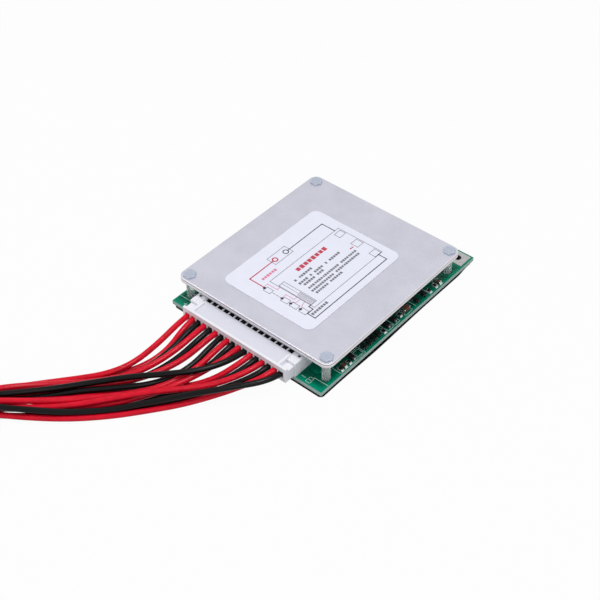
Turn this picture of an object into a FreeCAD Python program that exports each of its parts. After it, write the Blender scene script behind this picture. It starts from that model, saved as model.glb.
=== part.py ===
"""Battery management board: a circuit board clamped under an aluminium plate, with its sense harness.

Millimetres. The origin is in the middle of the board, on the underside of the insulating sheet that it
lies on. X runs along the connector edge, the connector faces -Y, and Z is up.
"""
import FreeCAD, Part
import Sketcher
import math
import os
import re

Vector = FreeCAD.Vector

# Driving sizes: name, value in millimetres (or a count), what it measures
SIZES = [
    ("board_width", 65.0, "circuit board along the connector edge"),
    ("board_length", 84.0, "circuit board from the connector edge to the power pads"),
    ("board_thickness", 1.6, "laminate"),
    ("plate_length", 72.0, "aluminium plate, along Y"),
    ("plate_thickness", 2.0, "aluminium plate"),
    ("plate_setback", 3.1, "connector edge of the board to the plate"),
    ("plate_corner", 2.8, "corner radius of the plate"),
    ("plate_bevel", 0.2, "broken top edge of the plate"),
    ("plate_gap", 7.3, "board to plate"),
    ("screw_inset", 3.0, "screw centres in from the plate's edges"),
    ("screw_diameter", 3.0, "nylon screw"),
    ("screw_clearance", 0.1, "screw to its holes, all round"),
    ("screw_head_across", 4.1, "hexagon head across its flats"),
    ("screw_head_height", 0.5, "hexagon head"),
    ("screw_recess", 0.2, "screw tip inside the nut"),
    ("nut_diameter", 4.4, "thin round nut"),
    ("nut_height", 1.0, "thin round nut, between the sheet and the board"),
    ("nut_clearance", 0.05, "screw to the nut's bore, all round"),
    ("sheet_thickness", 0.4, "insulating sheet under the board"),
    ("sheet_inset", 0.3, "insulating sheet in from the board's front and far edges"),
    ("sheet_overhang", 0.2, "insulating sheet beyond the board's sides"),
    ("sheet_corner", 1.5, "corner radius of the sheet"),
    ("sheet_held", 3.0, "strip of sheet that lies against the board along its far edge"),
    ("sheet_ramp", 6.0, "length of the curve in which the sheet rises to that strip"),
    ("label_width", 38.1, "label along X"),
    ("label_length", 48.5, "label along Y"),
    ("label_thickness", 0.15, "label"),
    ("label_corner", 2.7, "corner radius of the label"),
    ("label_shift_x", -0.5, "label centre from the board's centre"),
    ("label_setback", 32.25, "label centre behind the plate's front edge"),
    ("lead_count", 17, "leads, pins and plug cavities"),
    ("pin_pitch", 2.54, "connector pitch"),
    ("connector_shift", -0.8, "connector centre from the board's centre, along X"),
    ("pin_width", 0.64, "square pin"),
    ("pin_height", 3.0, "pin centre above the board"),
    ("pin_tip", 1.5, "pin tip behind the header's mouth"),
    ("pin_row", 10.8, "row of board holes behind the header's mouth"),
    ("pin_tail", 0.5, "pin below the board"),
    ("pin_hole", 0.95, "board hole for a pin"),
    ("header_end", 2.45, "header beyond its outer pins"),
    ("header_height", 5.75, "header"),
    ("header_depth", 9.5, "header, mouth to the back of its wall"),
    ("header_cheek_depth", 11.5, "header, mouth to the back of its cheeks"),
    ("header_cheek", 2.0, "thickness of a cheek behind the back wall"),
    ("header_wall", 0.8, "header wall"),
    ("header_cavity", 7.9, "depth of the header's mouth"),
    ("header_window_depth", 7.4, "open stretch of the header's top"),
    ("header_window_end", 3.57, "end of the open stretch to the header's end"),
    ("header_slot_length", 1.0, "drain slot in the header's top, along X"),
    ("header_slot_width", 0.9, "drain slot in the header's top, along Y"),
    ("header_slot_inset", 1.35, "drain slot centre in from the header's end"),
    ("header_slot_back", 3.55, "drain slot centre behind the mouth"),
    ("plug_clearance", 0.17, "plug to the sides of the header's mouth"),
    ("plug_lift", 0.2, "plug above the floor of the header's mouth"),
    ("plug_height", 4.45, "plug where it is inside the header"),
    ("plug_insert", 5.6, "how deep the plug goes in"),
    ("plug_flange", 4.2, "how far the plug stands out of the header"),
    ("plug_flange_end", 0.5, "flange beyond the part that goes in"),
    ("plug_flange_drop", 0.7, "flange below the part that goes in"),
    ("plug_gap", 0.15, "flange to the header's mouth"),
    ("plug_rib", 0.5, "height of the plug's lip and rails"),
    ("plug_lip", 1.0, "thickness of the lip and of a rail"),
    ("plug_rail_reach", 1.8, "how far a rail runs into the header"),
    ("plug_rail_clearance", 0.1, "rail to the open stretch of the header"),
    ("plug_shelf_drop", 0.7, "end shelves below the plug's top"),
    ("cavity_width", 1.95, "plug cavity for one lead"),
    ("cavity_height", 2.4, "plug cavity for one lead"),
    ("window_width", 1.9, "locking window over a cavity, along X"),
    ("window_length", 1.7, "locking window over a cavity, along Y"),
    ("window_back", 3.95, "locking window centre behind the mouth"),
    ("window_overlap", 0.1, "how far a window is cut down into its cavity"),
    ("terminal_width", 1.7, "crimp terminal"),
    ("terminal_height", 2.0, "crimp terminal"),
    ("terminal_length", 6.4, "crimp terminal"),
    ("terminal_front", 5.0, "terminal's open end behind the mouth"),
    ("terminal_bore", 1.2, "square bore that takes the pin"),
    ("terminal_bore_depth", 4.2, "square bore that takes the pin"),
    ("lead_diameter", 1.8, "sense lead over its insulation"),
    ("pad_width", 7.0, "tinned power pad along X"),
    ("pad_length", 6.2, "tinned power pad along Y"),
    ("pad_thickness", 0.15, "tinned power pad above the board"),
    ("pad_inset_x", 0.7, "outer power pads in from the board's sides"),
    ("pad_inset_y", 0.7, "power pads in from the board's far edge"),
    ("pad_hole", 2.6, "hole through a power pad"),
    ("pad_barrel", 0.2, "plated wall of the hole"),
    ("pad_drill_gap", 0.05, "drilled hole to the plated wall, all round"),
    ("mosfet_pitch", 12.7, "power transistors along X"),
    ("mosfet_width", 10.0, "power transistor body along X"),
    ("mosfet_length", 8.8, "power transistor body along Y"),
    ("mosfet_height", 4.4, "power transistor body"),
    ("mosfet_row_front", 49.9, "front row of transistors behind the plate's front edge"),
    ("mosfet_row_back", 64.4, "back row of transistors behind the plate's front edge"),
    ("mosfet_tab", 1.2, "metal tab beyond the body"),
    ("mosfet_tab_thickness", 1.3, "metal tab"),
    ("mosfet_leg", 3.4, "legs beyond the body"),
    ("mosfet_leg_width", 0.8, "leg"),
    ("mosfet_leg_thickness", 0.5, "leg"),
    ("mosfet_leg_spacing", 5.08, "leg to leg"),
    ("mosfet_leg_rise", 1.9, "leg above the board where it leaves the body"),
    ("thermal_pad_width", 52.0, "thermal pad along X"),
    ("thermal_pad_length", 11.0, "thermal pad along Y"),
    ("channel_pitch", 3.2, "cell channels along X"),
    ("monitor_pitch", 12.0, "monitoring circuits along X"),
    ("monitor_row", 33.9, "monitoring circuits behind the plate's front edge"),
    ("shunt_pitch", 10.0, "low-value resistors along X"),
    ("shunt_row", 40.1, "low-value resistors behind the plate's front edge"),
]

# Levels and places that follow from the sizes
DERIVED = {
    "channel_count": "lead_count - 1",
    "board_bottom": "sheet_thickness + nut_height",
    "board_top": "board_bottom + board_thickness",
    "plate_bottom": "board_top + plate_gap",
    "plate_top": "plate_bottom + plate_thickness",
    "plate_front": "plate_setback - board_length / 2",
    "plate_back": "plate_front + plate_length",
    "screw_x": "board_width / 2 - screw_inset",
    "screw_front": "plate_front + screw_inset",
    "screw_back": "plate_back - screw_inset",
    "screw_hole": "screw_diameter + 2 * screw_clearance",
    "screw_tip": "sheet_thickness + screw_recess",
    "first_pin": "0 - pin_pitch * (lead_count - 1) / 2",
    "header_half": "header_end - first_pin",
    "window_half": "header_half - header_window_end",
    "plug_half": "header_half - header_wall - plug_clearance",
    "flange_half": "plug_half + plug_flange_end",
    "plug_base": "header_wall + plug_lift",
    "plug_top": "plug_base + plug_height",
    "rail_outer": "window_half - plug_rail_clearance",
    "cavity_bottom": "pin_height - cavity_height / 2",
    "cavity_top": "pin_height + cavity_height / 2",
    "first_channel": "0 - channel_pitch * (channel_count - 1) / 2",
    "pad_x": "board_width / 2 - pad_inset_x - pad_width / 2",
    "pad_y": "board_length / 2 - pad_inset_y - pad_length / 2",
    "pad_drill": "pad_hole + 2 * pad_barrel + 2 * pad_drill_gap",
}

# Sense leads: route of each, as the points between the plug and the tied bundle, with Y counted from
# the board's connector edge
LEAD_ROUTES = {
    1: [(-20.8, -18.3, 4.1), (-21.1, -29.4, 3.3), (-24.5, -37.8, 2.9),
        (-30.5, -45.2, 2.6), (-36.5, -53.1, 3), (-41.6, -61.4, 4.2)],
    2: [(-17.7, -17.4, 2), (-19.6, -27.7, 1), (-24.7, -36.3, 1),
        (-31.1, -44.1, 1), (-37.5, -52.1, 1.3), (-42.8, -60.3, 2.5)],
    3: [(-16, -17.5, 3.2), (-17.6, -28, 1.6), (-22.7, -37.2, 1),
        (-29.1, -45.5, 1), (-35.8, -53.6, 1), (-41.4, -61.5, 1)],
    4: [(-14.2, -18.3, 4.1), (-16.9, -30.1, 3), (-22.7, -39.2, 2.6),
        (-29.2, -46.9, 3), (-35.4, -54.6, 4.3), (-40.6, -62.3, 6.1)],
    5: [(-12.3, -19.1, 2.4), (-15.9, -30.8, 1), (-22.2, -40.2, 1),
        (-28.9, -48.4, 1), (-35.1, -56.1, 1.5), (-40.6, -63.1, 2.6)],
    6: [(-10.1, -19.1, 3.2), (-14.4, -31, 2.6), (-21, -40.4, 2.7),
        (-28, -48.5, 2.9), (-34.4, -56.2, 3.4), (-39.7, -63.7, 4.5)],
    7: [(-6, -19.4, 2.9), (-9.7, -30.7, 2.9), (-16.9, -39.5, 3.3),
        (-24.5, -47.6, 3.4), (-31.6, -56.1, 2.9), (-38, -64.1, 2.9)],
    8: [(-3.9, -19.4, 3.4), (-7.7, -31.4, 2.8), (-14.6, -41.2, 2.9),
        (-22, -50.2, 3.5), (-29, -58.7, 4.7), (-35.8, -66.1, 6.2)],
    9: [(-2.3, -15.1, 2.4), (-6.8, -24.3, 1), (-14.3, -33.8, 1),
        (-22.5, -43.9, 1), (-30.5, -53.8, 1), (-38.1, -62.7, 1)],
    10: [(-0.9, -17.1, 3.9), (-4.6, -29.3, 3.4), (-11, -40.5, 2.5),
         (-19.1, -50.1, 1.6), (-27.5, -58.5, 1.6), (-35.5, -65.9, 2.6)],
    11: [(0.1, -18.1, 5.9), (-7.8, -27.9, 6.4), (-16.4, -35.6, 5.5),
         (-23.8, -44.1, 4.7), (-30.8, -53.8, 5), (-37.5, -63.2, 6.2)],
    12: [(2.1, -18.5, 1.9), (-6.1, -27.9, 1), (-13.6, -35.9, 1),
         (-20.3, -44.6, 1.5), (-27.5, -54.5, 2.8), (-35.6, -63.8, 4.3)],
    13: [(5.4, -17.1, 2.6), (-1.6, -27.3, 1.1), (-10.4, -37.2, 1),
         (-19.4, -47.3, 1), (-28.3, -56.6, 1), (-36.5, -64.6, 1)],
    14: [(5.9, -19.6, 4.2), (-2.1, -29.9, 4.9), (-9.4, -38, 4.9),
         (-16.4, -46.7, 3.9), (-24.3, -56.3, 3.4), (-33.3, -65.4, 4.2)],
    15: [(9.4, -15.8, 3.2), (2, -26.7, 1.6), (-6.8, -38.2, 1),
         (-15.9, -49.4, 1), (-25.2, -59, 1), (-34, -66.8, 1)],
    16: [(10.3, -18.1, 3.3), (2.7, -29.5, 1.6), (-4.9, -39.1, 1),
         (-12.3, -48.5, 1), (-21.3, -58, 1.4), (-31.4, -66.8, 2.5)],
    17: [(11.2, -18.9, 6.1), (2.4, -29.4, 5.3), (-5.4, -38, 3.5),
         (-12.9, -47.4, 2.5), (-21.9, -57.4, 3.5), (-31.7, -66.4, 5.6)],
}
# First run of a lead, from its crimp straight out of the plug
LEAD_STRAIGHT = 5.9
# Tied bundle: four layers of leads side by side, from its mouth away from the board
BUNDLE_MOUTH = (-48.2, -76.2)
BUNDLE_ANGLE = math.atan2(-0.75, -0.66)
BUNDLE_STEP = 2.05
BUNDLE_LAYERS = (1.75, 3.53, 5.3, 7.08)
# Place of each lead in the bundle: steps to the left of its middle, and the layer
BUNDLE_PLACES = {
    1: (-1.5, 2), 2: (-2, 1), 3: (-1.5, 0), 4: (-1, 3), 5: (-1, 1), 6: (-0.5, 2), 7: (0, 1),
    8: (1, 3), 9: (-0.5, 0), 10: (1, 1), 11: (0, 3), 12: (0.5, 2), 13: (0.5, 0),
    14: (1.5, 2), 15: (1.5, 0), 16: (2, 1), 17: (2, 3),
}
BUNDLE_RUN_IN = 7.0
# Coil of the stored length: straight stub, first turn, eye, and the section it fills
COIL_STUB = 26.0
COIL_RADIUS = 28.0
COIL_EYE = 8.0
COIL_BAND = 10.6
COIL_STUB_BAND = 10.4
COIL_BOTTOM = 0.8
COIL_TOP = 8.0
TIE_WIDTH = 3.0
TIE_THICKNESS = 0.8
TIE_SLACK = 0.15

doc = FreeCAD.newDocument("battery_management_board")
sheet = doc.addObject("Spreadsheet::Sheet", "Sizes")
for row, (alias, number, meaning) in enumerate(SIZES, 1):
    sheet.set(f"A{row}", alias)
    sheet.set(f"B{row}", str(number))
    sheet.setAlias(f"B{row}", alias)
    sheet.set(f"C{row}", meaning)
doc.recompute()

SIZE_NAMES = {alias for alias, number, meaning in SIZES}
parts = []


def formula(text):
    """Expression on the sheet's cells from a text that uses sizes and derived names."""
    def meaning_of(match):
        word = match.group(0)
        if word in DERIVED:
            return "(" + formula(DERIVED[word]) + ")"
        return "Sizes." + word if word in SIZE_NAMES else word
    return re.sub(r"[a-z]\w+", meaning_of, text)


def value(text):
    """Number that such a text stands for now."""
    return float(sheet.evalExpression(formula(text)))


def bind(feature, **texts):
    """Tie properties of a feature to the sheet."""
    for name, text in texts.items():
        feature.setExpression(name, formula(text))


def place(part, east="0", north="0", up="0"):
    """Placement of a whole sub-part, tied to the sheet."""
    for axis, text in (("x", east), ("y", north), ("z", up)):
        part.setExpression("Placement.Base." + axis, formula(text))


def new_body(name, east="0", north="0", up="0"):
    body = doc.addObject("PartDesign::Body", name)
    body.Label = name
    body.AllowCompound = True
    place(body, east, north, up)
    parts.append(body)
    return body


def origin_feature(body, role):
    return next(item for item in body.Origin.OriginFeatures if item.Role == role)


def new_sketch(body, name, plane="XY_Plane", level="0"):
    """Sketch on one of the body's own planes, moved along its normal to a level."""
    sketch = body.newObject("Sketcher::SketchObject", name)
    sketch.AttachmentSupport = [(origin_feature(body, plane), "")]
    sketch.MapMode = "FlatFace"
    sketch.setExpression("AttachmentOffset.Base.z", formula(level))
    return sketch


def rectangle(sketch, left, right, bottom, top):
    """Rectangle with each of its four sides at a place given by an expression."""
    first = sketch.GeometryCount
    x_low, x_high, y_low, y_high = [value(text) for text in (left, right, bottom, top)]
    corners = [Vector(x_low, y_low), Vector(x_high, y_low), Vector(x_high, y_high), Vector(x_low, y_high)]
    for side in range(4):
        sketch.addGeometry(Part.LineSegment(corners[side], corners[(side + 1) % 4]), False)
    for side in range(4):
        following = first + (side + 1) % 4
        sketch.addConstraint(Sketcher.Constraint("Coincident", first + side, 2, following, 1))
        sketch.addConstraint(Sketcher.Constraint(("Horizontal", "Vertical")[side % 2], first + side))
    for kind, line, text in (("DistanceX", first, left), ("DistanceX", first + 2, right),
                             ("DistanceY", first, bottom), ("DistanceY", first + 2, top)):
        tied = sketch.addConstraint(Sketcher.Constraint(kind, -1, 1, line, 1, value(text)))
        sketch.setExpression(f"Constraints[{tied}]", formula(text))


def circle(sketch, east, north, diameter):
    """Circle with its centre and its diameter given by expressions."""
    middle = Vector(value(east), value(north))
    ring = sketch.addGeometry(Part.Circle(middle, Vector(0, 0, 1), value(diameter) / 2), False)
    for kind, text in (("DistanceX", east), ("DistanceY", north)):
        tied = sketch.addConstraint(Sketcher.Constraint(kind, -1, 1, ring, 3, value(text)))
        sketch.setExpression(f"Constraints[{tied}]", formula(text))
    tied = sketch.addConstraint(Sketcher.Constraint("Diameter", ring, value(diameter)))
    sketch.setExpression(f"Constraints[{tied}]", formula(diameter))


def pad(body, sketch, length, centred=False):
    feature = body.newObject("PartDesign::Pad", sketch.Name + "_pad")
    feature.Profile = sketch
    feature.Midplane = centred
    bind(feature, Length=length)
    sketch.Visibility = False
    return feature


def pocket(body, sketch, length=None, forward=False):
    """Cut against the sketch's normal, or along it, to a depth or right through."""
    feature = body.newObject("PartDesign::Pocket", sketch.Name + "_cut")
    feature.Profile = sketch
    feature.Reversed = forward
    if length is None:
        feature.Type = "ThroughAll"
    else:
        bind(feature, Length=length)
    sketch.Visibility = False
    return feature


def repeat(body, features, axis, pitch, count):
    """Row of copies of some features along one of the body's axes."""
    row = body.newObject("PartDesign::LinearPattern", body.Name + "_row")
    row.Originals = features
    row.Direction = (origin_feature(body, axis), [""])
    row.Mode = "Spacing"
    bind(row, Offset=pitch, Occurrences=count)
    body.Tip = row
    return row


def edge_names(feature, wanted):
    doc.recompute()
    return [f"Edge{n}" for n, edge in enumerate(feature.Shape.Edges, 1) if wanted(edge)]


def upright(edge):
    """Straight edge parallel to Z."""
    box = edge.BoundBox
    return box.ZLength > 1e-6 and box.XLength < 1e-6 and box.YLength < 1e-6


def round_edges(body, feature, names, radius):
    fillet = body.newObject("PartDesign::Fillet", body.Name + "_round")
    fillet.Base = (feature, names)
    bind(fillet, Radius=radius)
    return fillet


def bevel_edges(body, feature, names, size):
    chamfer = body.newObject("PartDesign::Chamfer", body.Name + "_bevel")
    chamfer.Base = (feature, names)
    bind(chamfer, Size=size)
    return chamfer


def screw_holes(sketch, diameter):
    """The four corner holes that the plate and the board share."""
    for side in ("0 - screw_x", "screw_x"):
        for end in ("screw_front", "screw_back"):
            circle(sketch, side, end, diameter)


# Circuit board, with holes for the screws, the pins and the power pads
board = new_body("circuit_board", up="board_bottom")
outline = new_sketch(board, "board_outline")
rectangle(outline, "0 - board_width / 2", "board_width / 2", "0 - board_length / 2", "board_length / 2")
slab = pad(board, outline, "board_thickness")
drilling = new_sketch(board, "board_drilling", level="board_thickness")
screw_holes(drilling, "screw_hole")
for side in ("0 - pad_x", "0", "pad_x"):
    circle(drilling, side, "pad_y", "pad_drill")
pocket(board, drilling)
pin_drill = new_sketch(board, "pin_drill", level="board_thickness")
circle(pin_drill, "connector_shift + first_pin", "pin_row - board_length / 2", "pin_hole")
repeat(board, [pocket(board, pin_drill)], "X_Axis", "pin_pitch", "lead_count")

# Aluminium plate that spreads the transistors' heat
plate = new_body("heatsink_plate", up="plate_bottom")
outline = new_sketch(plate, "plate_outline")
rectangle(outline, "0 - board_width / 2", "board_width / 2", "plate_front", "plate_back")
slab = pad(plate, outline, "plate_thickness")
rounded = round_edges(plate, slab, edge_names(slab, upright), "plate_corner")
rim = edge_names(rounded, lambda edge: edge.BoundBox.ZMin > value("plate_thickness") - 1e-6)
bevelled = bevel_edges(plate, rounded, rim, "plate_bevel")
drilling = new_sketch(plate, "plate_drilling", level="plate_thickness")
screw_holes(drilling, "screw_hole")
pocket(plate, drilling)


def rising_profile(sketch):
    """Side view of the insulating sheet: flat, then up in two arcs to the board at its far edge."""
    rise = value("nut_height")
    ramp = value("sheet_ramp")
    front = value("sheet_inset - board_length / 2")
    back = value("board_length / 2 - sheet_inset")
    top_of_ramp = back - value("sheet_held")
    foot_of_ramp = top_of_ramp - ramp
    bend = (ramp ** 2 + rise ** 2) / (4 * rise)
    turn = 2 * math.atan2(rise, ramp)

    def bulge(centre, radius, start, sweep):
        """Three points of an arc, by its centre and the angle it starts at."""
        angles = [start + sweep * part for part in (0, 0.5, 1)]
        return [centre + Vector(radius * math.cos(angle), radius * math.sin(angle)) for angle in angles]

    faces = []
    for offset in (0, value("sheet_thickness")):
        faces.append([
            [Vector(front, offset), Vector(foot_of_ramp, offset)],
            bulge(Vector(foot_of_ramp, bend), bend - offset, -math.pi / 2, turn),
            bulge(Vector(top_of_ramp, rise - bend), bend + offset, math.pi / 2 + turn, -turn),
            [Vector(top_of_ramp, rise + offset), Vector(back, rise + offset)]])
    lower, upper = faces
    for piece in lower + upper + [[lower[0][0], upper[0][0]], [lower[-1][-1], upper[-1][-1]]]:
        shape = Part.LineSegment(*piece) if len(piece) == 2 else Part.Arc(*piece)
        sketch.addGeometry(shape, False)


# Black insulating sheet under the nuts, with round corners
film = new_body("insulating_sheet")
profile = new_sketch(film, "sheet_profile", plane="YZ_Plane")
rising_profile(profile)
slab = pad(film, profile, "board_width + 2 * sheet_overhang", centred=True)
round_edges(film, slab, edge_names(slab, upright), "sheet_corner")

# Label on the plate
label = new_body("label_sticker", "label_shift_x", "plate_front + label_setback", "plate_top")
outline = new_sketch(label, "label_outline")
rectangle(outline, "0 - label_width / 2", "label_width / 2", "0 - label_length / 2", "label_length / 2")
slab = pad(label, outline, "label_thickness")
round_edges(label, slab, edge_names(slab, upright), "label_corner")


def hexagon(body, name, across, height, level="0"):
    """Six-sided block centred on the body's axis."""
    prism = body.newObject("PartDesign::AdditivePrism", name)
    prism.Polygon = 6
    prism.AttachmentSupport = [(origin_feature(body, "XY_Plane"), "")]
    prism.MapMode = "FlatFace"
    bind(prism, Circumradius=f"({across}) / sqrt(3)", Height=height)
    prism.setExpression("AttachmentOffset.Base.z", formula(level))
    return prism


def at_four_corners(body, features):
    """Copies of a piece modelled at the front left screw, at the other three."""
    corners = body.newObject("PartDesign::MultiTransform", body.Name + "_corners")
    steps = []
    for axis, pitch in (("X_Axis", "2 * screw_x"), ("Y_Axis", "screw_back - screw_front")):
        step = body.newObject("PartDesign::LinearPattern", body.Name + "_step")
        step.Direction = (origin_feature(body, axis), [""])
        step.Mode = "Spacing"
        step.Occurrences = 2
        bind(step, Offset=pitch)
        steps.append(step)
    corners.Originals = features
    corners.Transformations = steps
    body.Tip = corners


# Clear nylon screws: head on the plate, shank down through the board into the nuts
screws = new_body("corner_screws", "0 - screw_x", "screw_front")
head = hexagon(screws, "screw_head", "screw_head_across", "screw_head_height", "plate_top")
shank = new_sketch(screws, "screw_shank", level="screw_tip")
circle(shank, "0", "0", "screw_diameter")
at_four_corners(screws, [head, pad(screws, shank, "plate_top - screw_tip")])

nuts = new_body("corner_nuts", "0 - screw_x", "screw_front", "sheet_thickness")
ring = new_sketch(nuts, "nut_ring")
circle(ring, "0", "0", "nut_diameter")
circle(ring, "0", "0", "screw_diameter + 2 * nut_clearance")
at_four_corners(nuts, [pad(nuts, ring, "nut_height")])


def connector_body(name):
    """Sub-part in the connector's own frame: middle of the header's mouth, on the board."""
    return new_body(name, "connector_shift", "0 - board_length / 2", "board_top")


# White header soldered along the board's edge, open towards the plug and along its top
header = connector_body("connector_header")
block = new_sketch(header, "header_block")
rectangle(block, "0 - header_half", "header_half", "0", "header_depth")
pad(header, block, "header_height")
cheeks = new_sketch(header, "header_cheeks")
rectangle(cheeks, "0 - header_half", "header_cheek - header_half", "header_depth", "header_cheek_depth")
rectangle(cheeks, "header_half - header_cheek", "header_half", "header_depth", "header_cheek_depth")
pad(header, cheeks, "header_height")
mouth = new_sketch(header, "header_mouth", plane="XZ_Plane")
rectangle(mouth, "header_wall - header_half", "header_half - header_wall", "header_wall",
          "header_height - header_wall")
pocket(header, mouth, "header_cavity")
opening = new_sketch(header, "header_opening", level="header_height")
rectangle(opening, "0 - window_half", "window_half", "0", "header_window_depth")
for end in ("header_slot_inset - header_half", "header_half - header_slot_inset"):
    rectangle(opening, end + " - header_slot_length / 2", end + " + header_slot_length / 2",
              "header_slot_back - header_slot_width / 2", "header_slot_back + header_slot_width / 2")
pocket(header, opening, "header_wall")
hole = new_sketch(header, "header_pin_hole", plane="XZ_Plane", level="0 - header_depth")
rectangle(hole, "first_pin - pin_width / 2", "first_pin + pin_width / 2",
          "pin_height - pin_width / 2", "pin_height + pin_width / 2")
pin_hole = pocket(header, hole, "header_depth - header_cavity", forward=True)
repeat(header, [pin_hole], "X_Axis", "pin_pitch", "lead_count")

# Tinned square pins, bent down behind the header into the board
pins = connector_body("header_pins")
profile = new_sketch(pins, "pin_profile", plane="YZ_Plane", level="first_pin")
rectangle(profile, "pin_tip", "pin_row + pin_width / 2",
          "pin_height - pin_width / 2", "pin_height + pin_width / 2")
run = pad(pins, profile, "pin_width", centred=True)
profile = new_sketch(pins, "pin_tail_profile", plane="YZ_Plane", level="first_pin")
rectangle(profile, "pin_row - pin_width / 2", "pin_row + pin_width / 2",
          "0 - board_thickness - pin_tail", "pin_height + pin_width / 2")
tail = pad(pins, profile, "pin_width", centred=True)
repeat(pins, [run, tail], "X_Axis", "pin_pitch", "lead_count")

# White plug on the leads, with one cavity for each crimp terminal
plug = connector_body("plug_housing")
flange = new_sketch(plug, "plug_flange_outline", level="plug_base - plug_flange_drop")
rectangle(flange, "0 - flange_half", "flange_half", "0 - plug_flange", "0 - plug_gap")
pad(plug, flange, "plug_height + plug_flange_drop")
insert = new_sketch(plug, "plug_insert_outline", level="plug_base")
rectangle(insert, "0 - plug_half", "plug_half", "0 - plug_gap", "plug_insert")
pad(plug, insert, "plug_height")
ribs = new_sketch(plug, "plug_lip_outline", level="plug_top")
rectangle(ribs, "0 - flange_half", "flange_half", "0 - plug_flange", "plug_lip - plug_flange")
pad(plug, ribs, "plug_rib")
ribs = new_sketch(plug, "plug_rail_outline", level="plug_top")
for inner, outer in (("0 - rail_outer", "plug_lip - rail_outer"), ("rail_outer - plug_lip", "rail_outer")):
    rectangle(ribs, inner, outer, "plug_lip - plug_flange", "plug_rail_reach")
pad(plug, ribs, "plug_rib")
shelves = new_sketch(plug, "plug_shelf_outline", level="plug_top")
for inner, outer in (("0 - flange_half", "0 - rail_outer"), ("rail_outer", "flange_half")):
    rectangle(shelves, inner, outer, "plug_lip - plug_flange", "plug_insert")
pocket(plug, shelves, "plug_shelf_drop")
cavity = new_sketch(plug, "plug_cavity", plane="XZ_Plane", level="plug_flange")
rectangle(cavity, "first_pin - cavity_width / 2", "first_pin + cavity_width / 2",
          "cavity_bottom", "cavity_top")
cut = pocket(plug, cavity)
repeat(plug, [cut], "X_Axis", "pin_pitch", "lead_count")
window = new_sketch(plug, "plug_window", level="plug_top")
rectangle(window, "first_pin + pin_pitch - window_width / 2", "first_pin + pin_pitch + window_width / 2",
          "window_back - window_length / 2", "window_back + window_length / 2")
cut = pocket(plug, window, "plug_top - cavity_top + window_overlap")
repeat(plug, [cut], "X_Axis", "pin_pitch", "lead_count - 2")

# Crimp terminals: a square socket for the pin in front, the lead's copper crimped behind
terminals = connector_body("crimp_terminals")
shell = new_sketch(terminals, "terminal_shell", plane="XZ_Plane", level="0 - terminal_front")
rectangle(shell, "first_pin - terminal_width / 2", "first_pin + terminal_width / 2",
          "pin_height - terminal_height / 2", "pin_height + terminal_height / 2")
box = pad(terminals, shell, "terminal_length")
bore = new_sketch(terminals, "terminal_bore_outline", plane="XZ_Plane", level="0 - terminal_front")
rectangle(bore, "first_pin - terminal_bore / 2", "first_pin + terminal_bore / 2",
          "pin_height - terminal_bore / 2", "pin_height + terminal_bore / 2")
socket = pocket(terminals, bore, "terminal_bore_depth", forward=True)
repeat(terminals, [box, socket], "X_Axis", "pin_pitch", "lead_count")

# Tinned power pads with plated holes, for the battery and load cables
pads = new_body("power_pads", up="board_top")
faces = new_sketch(pads, "pad_faces")
barrels = new_sketch(pads, "pad_barrels", level="0 - board_thickness")
holes = new_sketch(pads, "pad_holes", level="pad_thickness")
for middle in ("0 - pad_x", "0", "pad_x"):
    rectangle(faces, middle + " - pad_width / 2", middle + " + pad_width / 2",
              "pad_y - pad_length / 2", "pad_y + pad_length / 2")
    circle(barrels, middle, "pad_y", "pad_hole + 2 * pad_barrel")
    circle(holes, middle, "pad_y", "pad_hole")
pad(pads, faces, "pad_thickness")
pad(pads, barrels, "board_thickness")
pocket(pads, holes)


def power_mosfet(name, east, north):
    """Power transistor: moulded body, soldered metal tab behind, two bent legs in front."""
    body = new_body(name, east, north, "board_top")
    case = new_sketch(body, name + "_case")
    rectangle(case, "0 - mosfet_width / 2", "mosfet_width / 2", "0 - mosfet_length / 2", "mosfet_length / 2")
    pad(body, case, "mosfet_height")
    tab = new_sketch(body, name + "_tab")
    rectangle(tab, "0 - mosfet_width / 2", "mosfet_width / 2", "mosfet_length / 2",
              "mosfet_length / 2 + mosfet_tab")
    pad(body, tab, "mosfet_tab_thickness")
    legs = []
    for low, high, start, end in (
            ("mosfet_leg_rise", "mosfet_leg_rise + mosfet_leg_thickness", "mosfet_leg / 2", "0"),
            ("0", "mosfet_leg_rise + mosfet_leg_thickness", "mosfet_leg / 2 + mosfet_leg_thickness",
             "mosfet_leg / 2"),
            ("0", "mosfet_leg_thickness", "mosfet_leg", "mosfet_leg / 2")):
        side = new_sketch(body, f"{name}_leg_{len(legs)}", plane="YZ_Plane",
                          level="0 - mosfet_leg_spacing / 2")
        rectangle(side, "0 - mosfet_length / 2 - " + start, "0 - mosfet_length / 2 - " + end, low, high)
        legs.append(pad(body, side, "mosfet_leg_width", centred=True))
    repeat(body, legs, "X_Axis", "mosfet_leg_spacing", "2")


# Two rows of four power transistors, and the soft pads that join each row to the plate
MOSFET_ROWS = ("plate_front + mosfet_row_front", "plate_front + mosfet_row_back")
for number in range(8):
    column = f"mosfet_pitch * ({number % 4} - 1.5)"
    power_mosfet(f"power_mosfet_{number + 1}", column, MOSFET_ROWS[number // 4])
for number, row in enumerate(MOSFET_ROWS, 1):
    gap_pad = new_body(f"thermal_pad_{number}", "0", row, "board_top + mosfet_height")
    outline = new_sketch(gap_pad, f"thermal_pad_{number}_outline")
    rectangle(outline, "0 - thermal_pad_width / 2", "thermal_pad_width / 2",
              "0 - thermal_pad_length / 2", "thermal_pad_length / 2")
    pad(gap_pad, outline, "plate_gap - mosfet_height")


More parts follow.
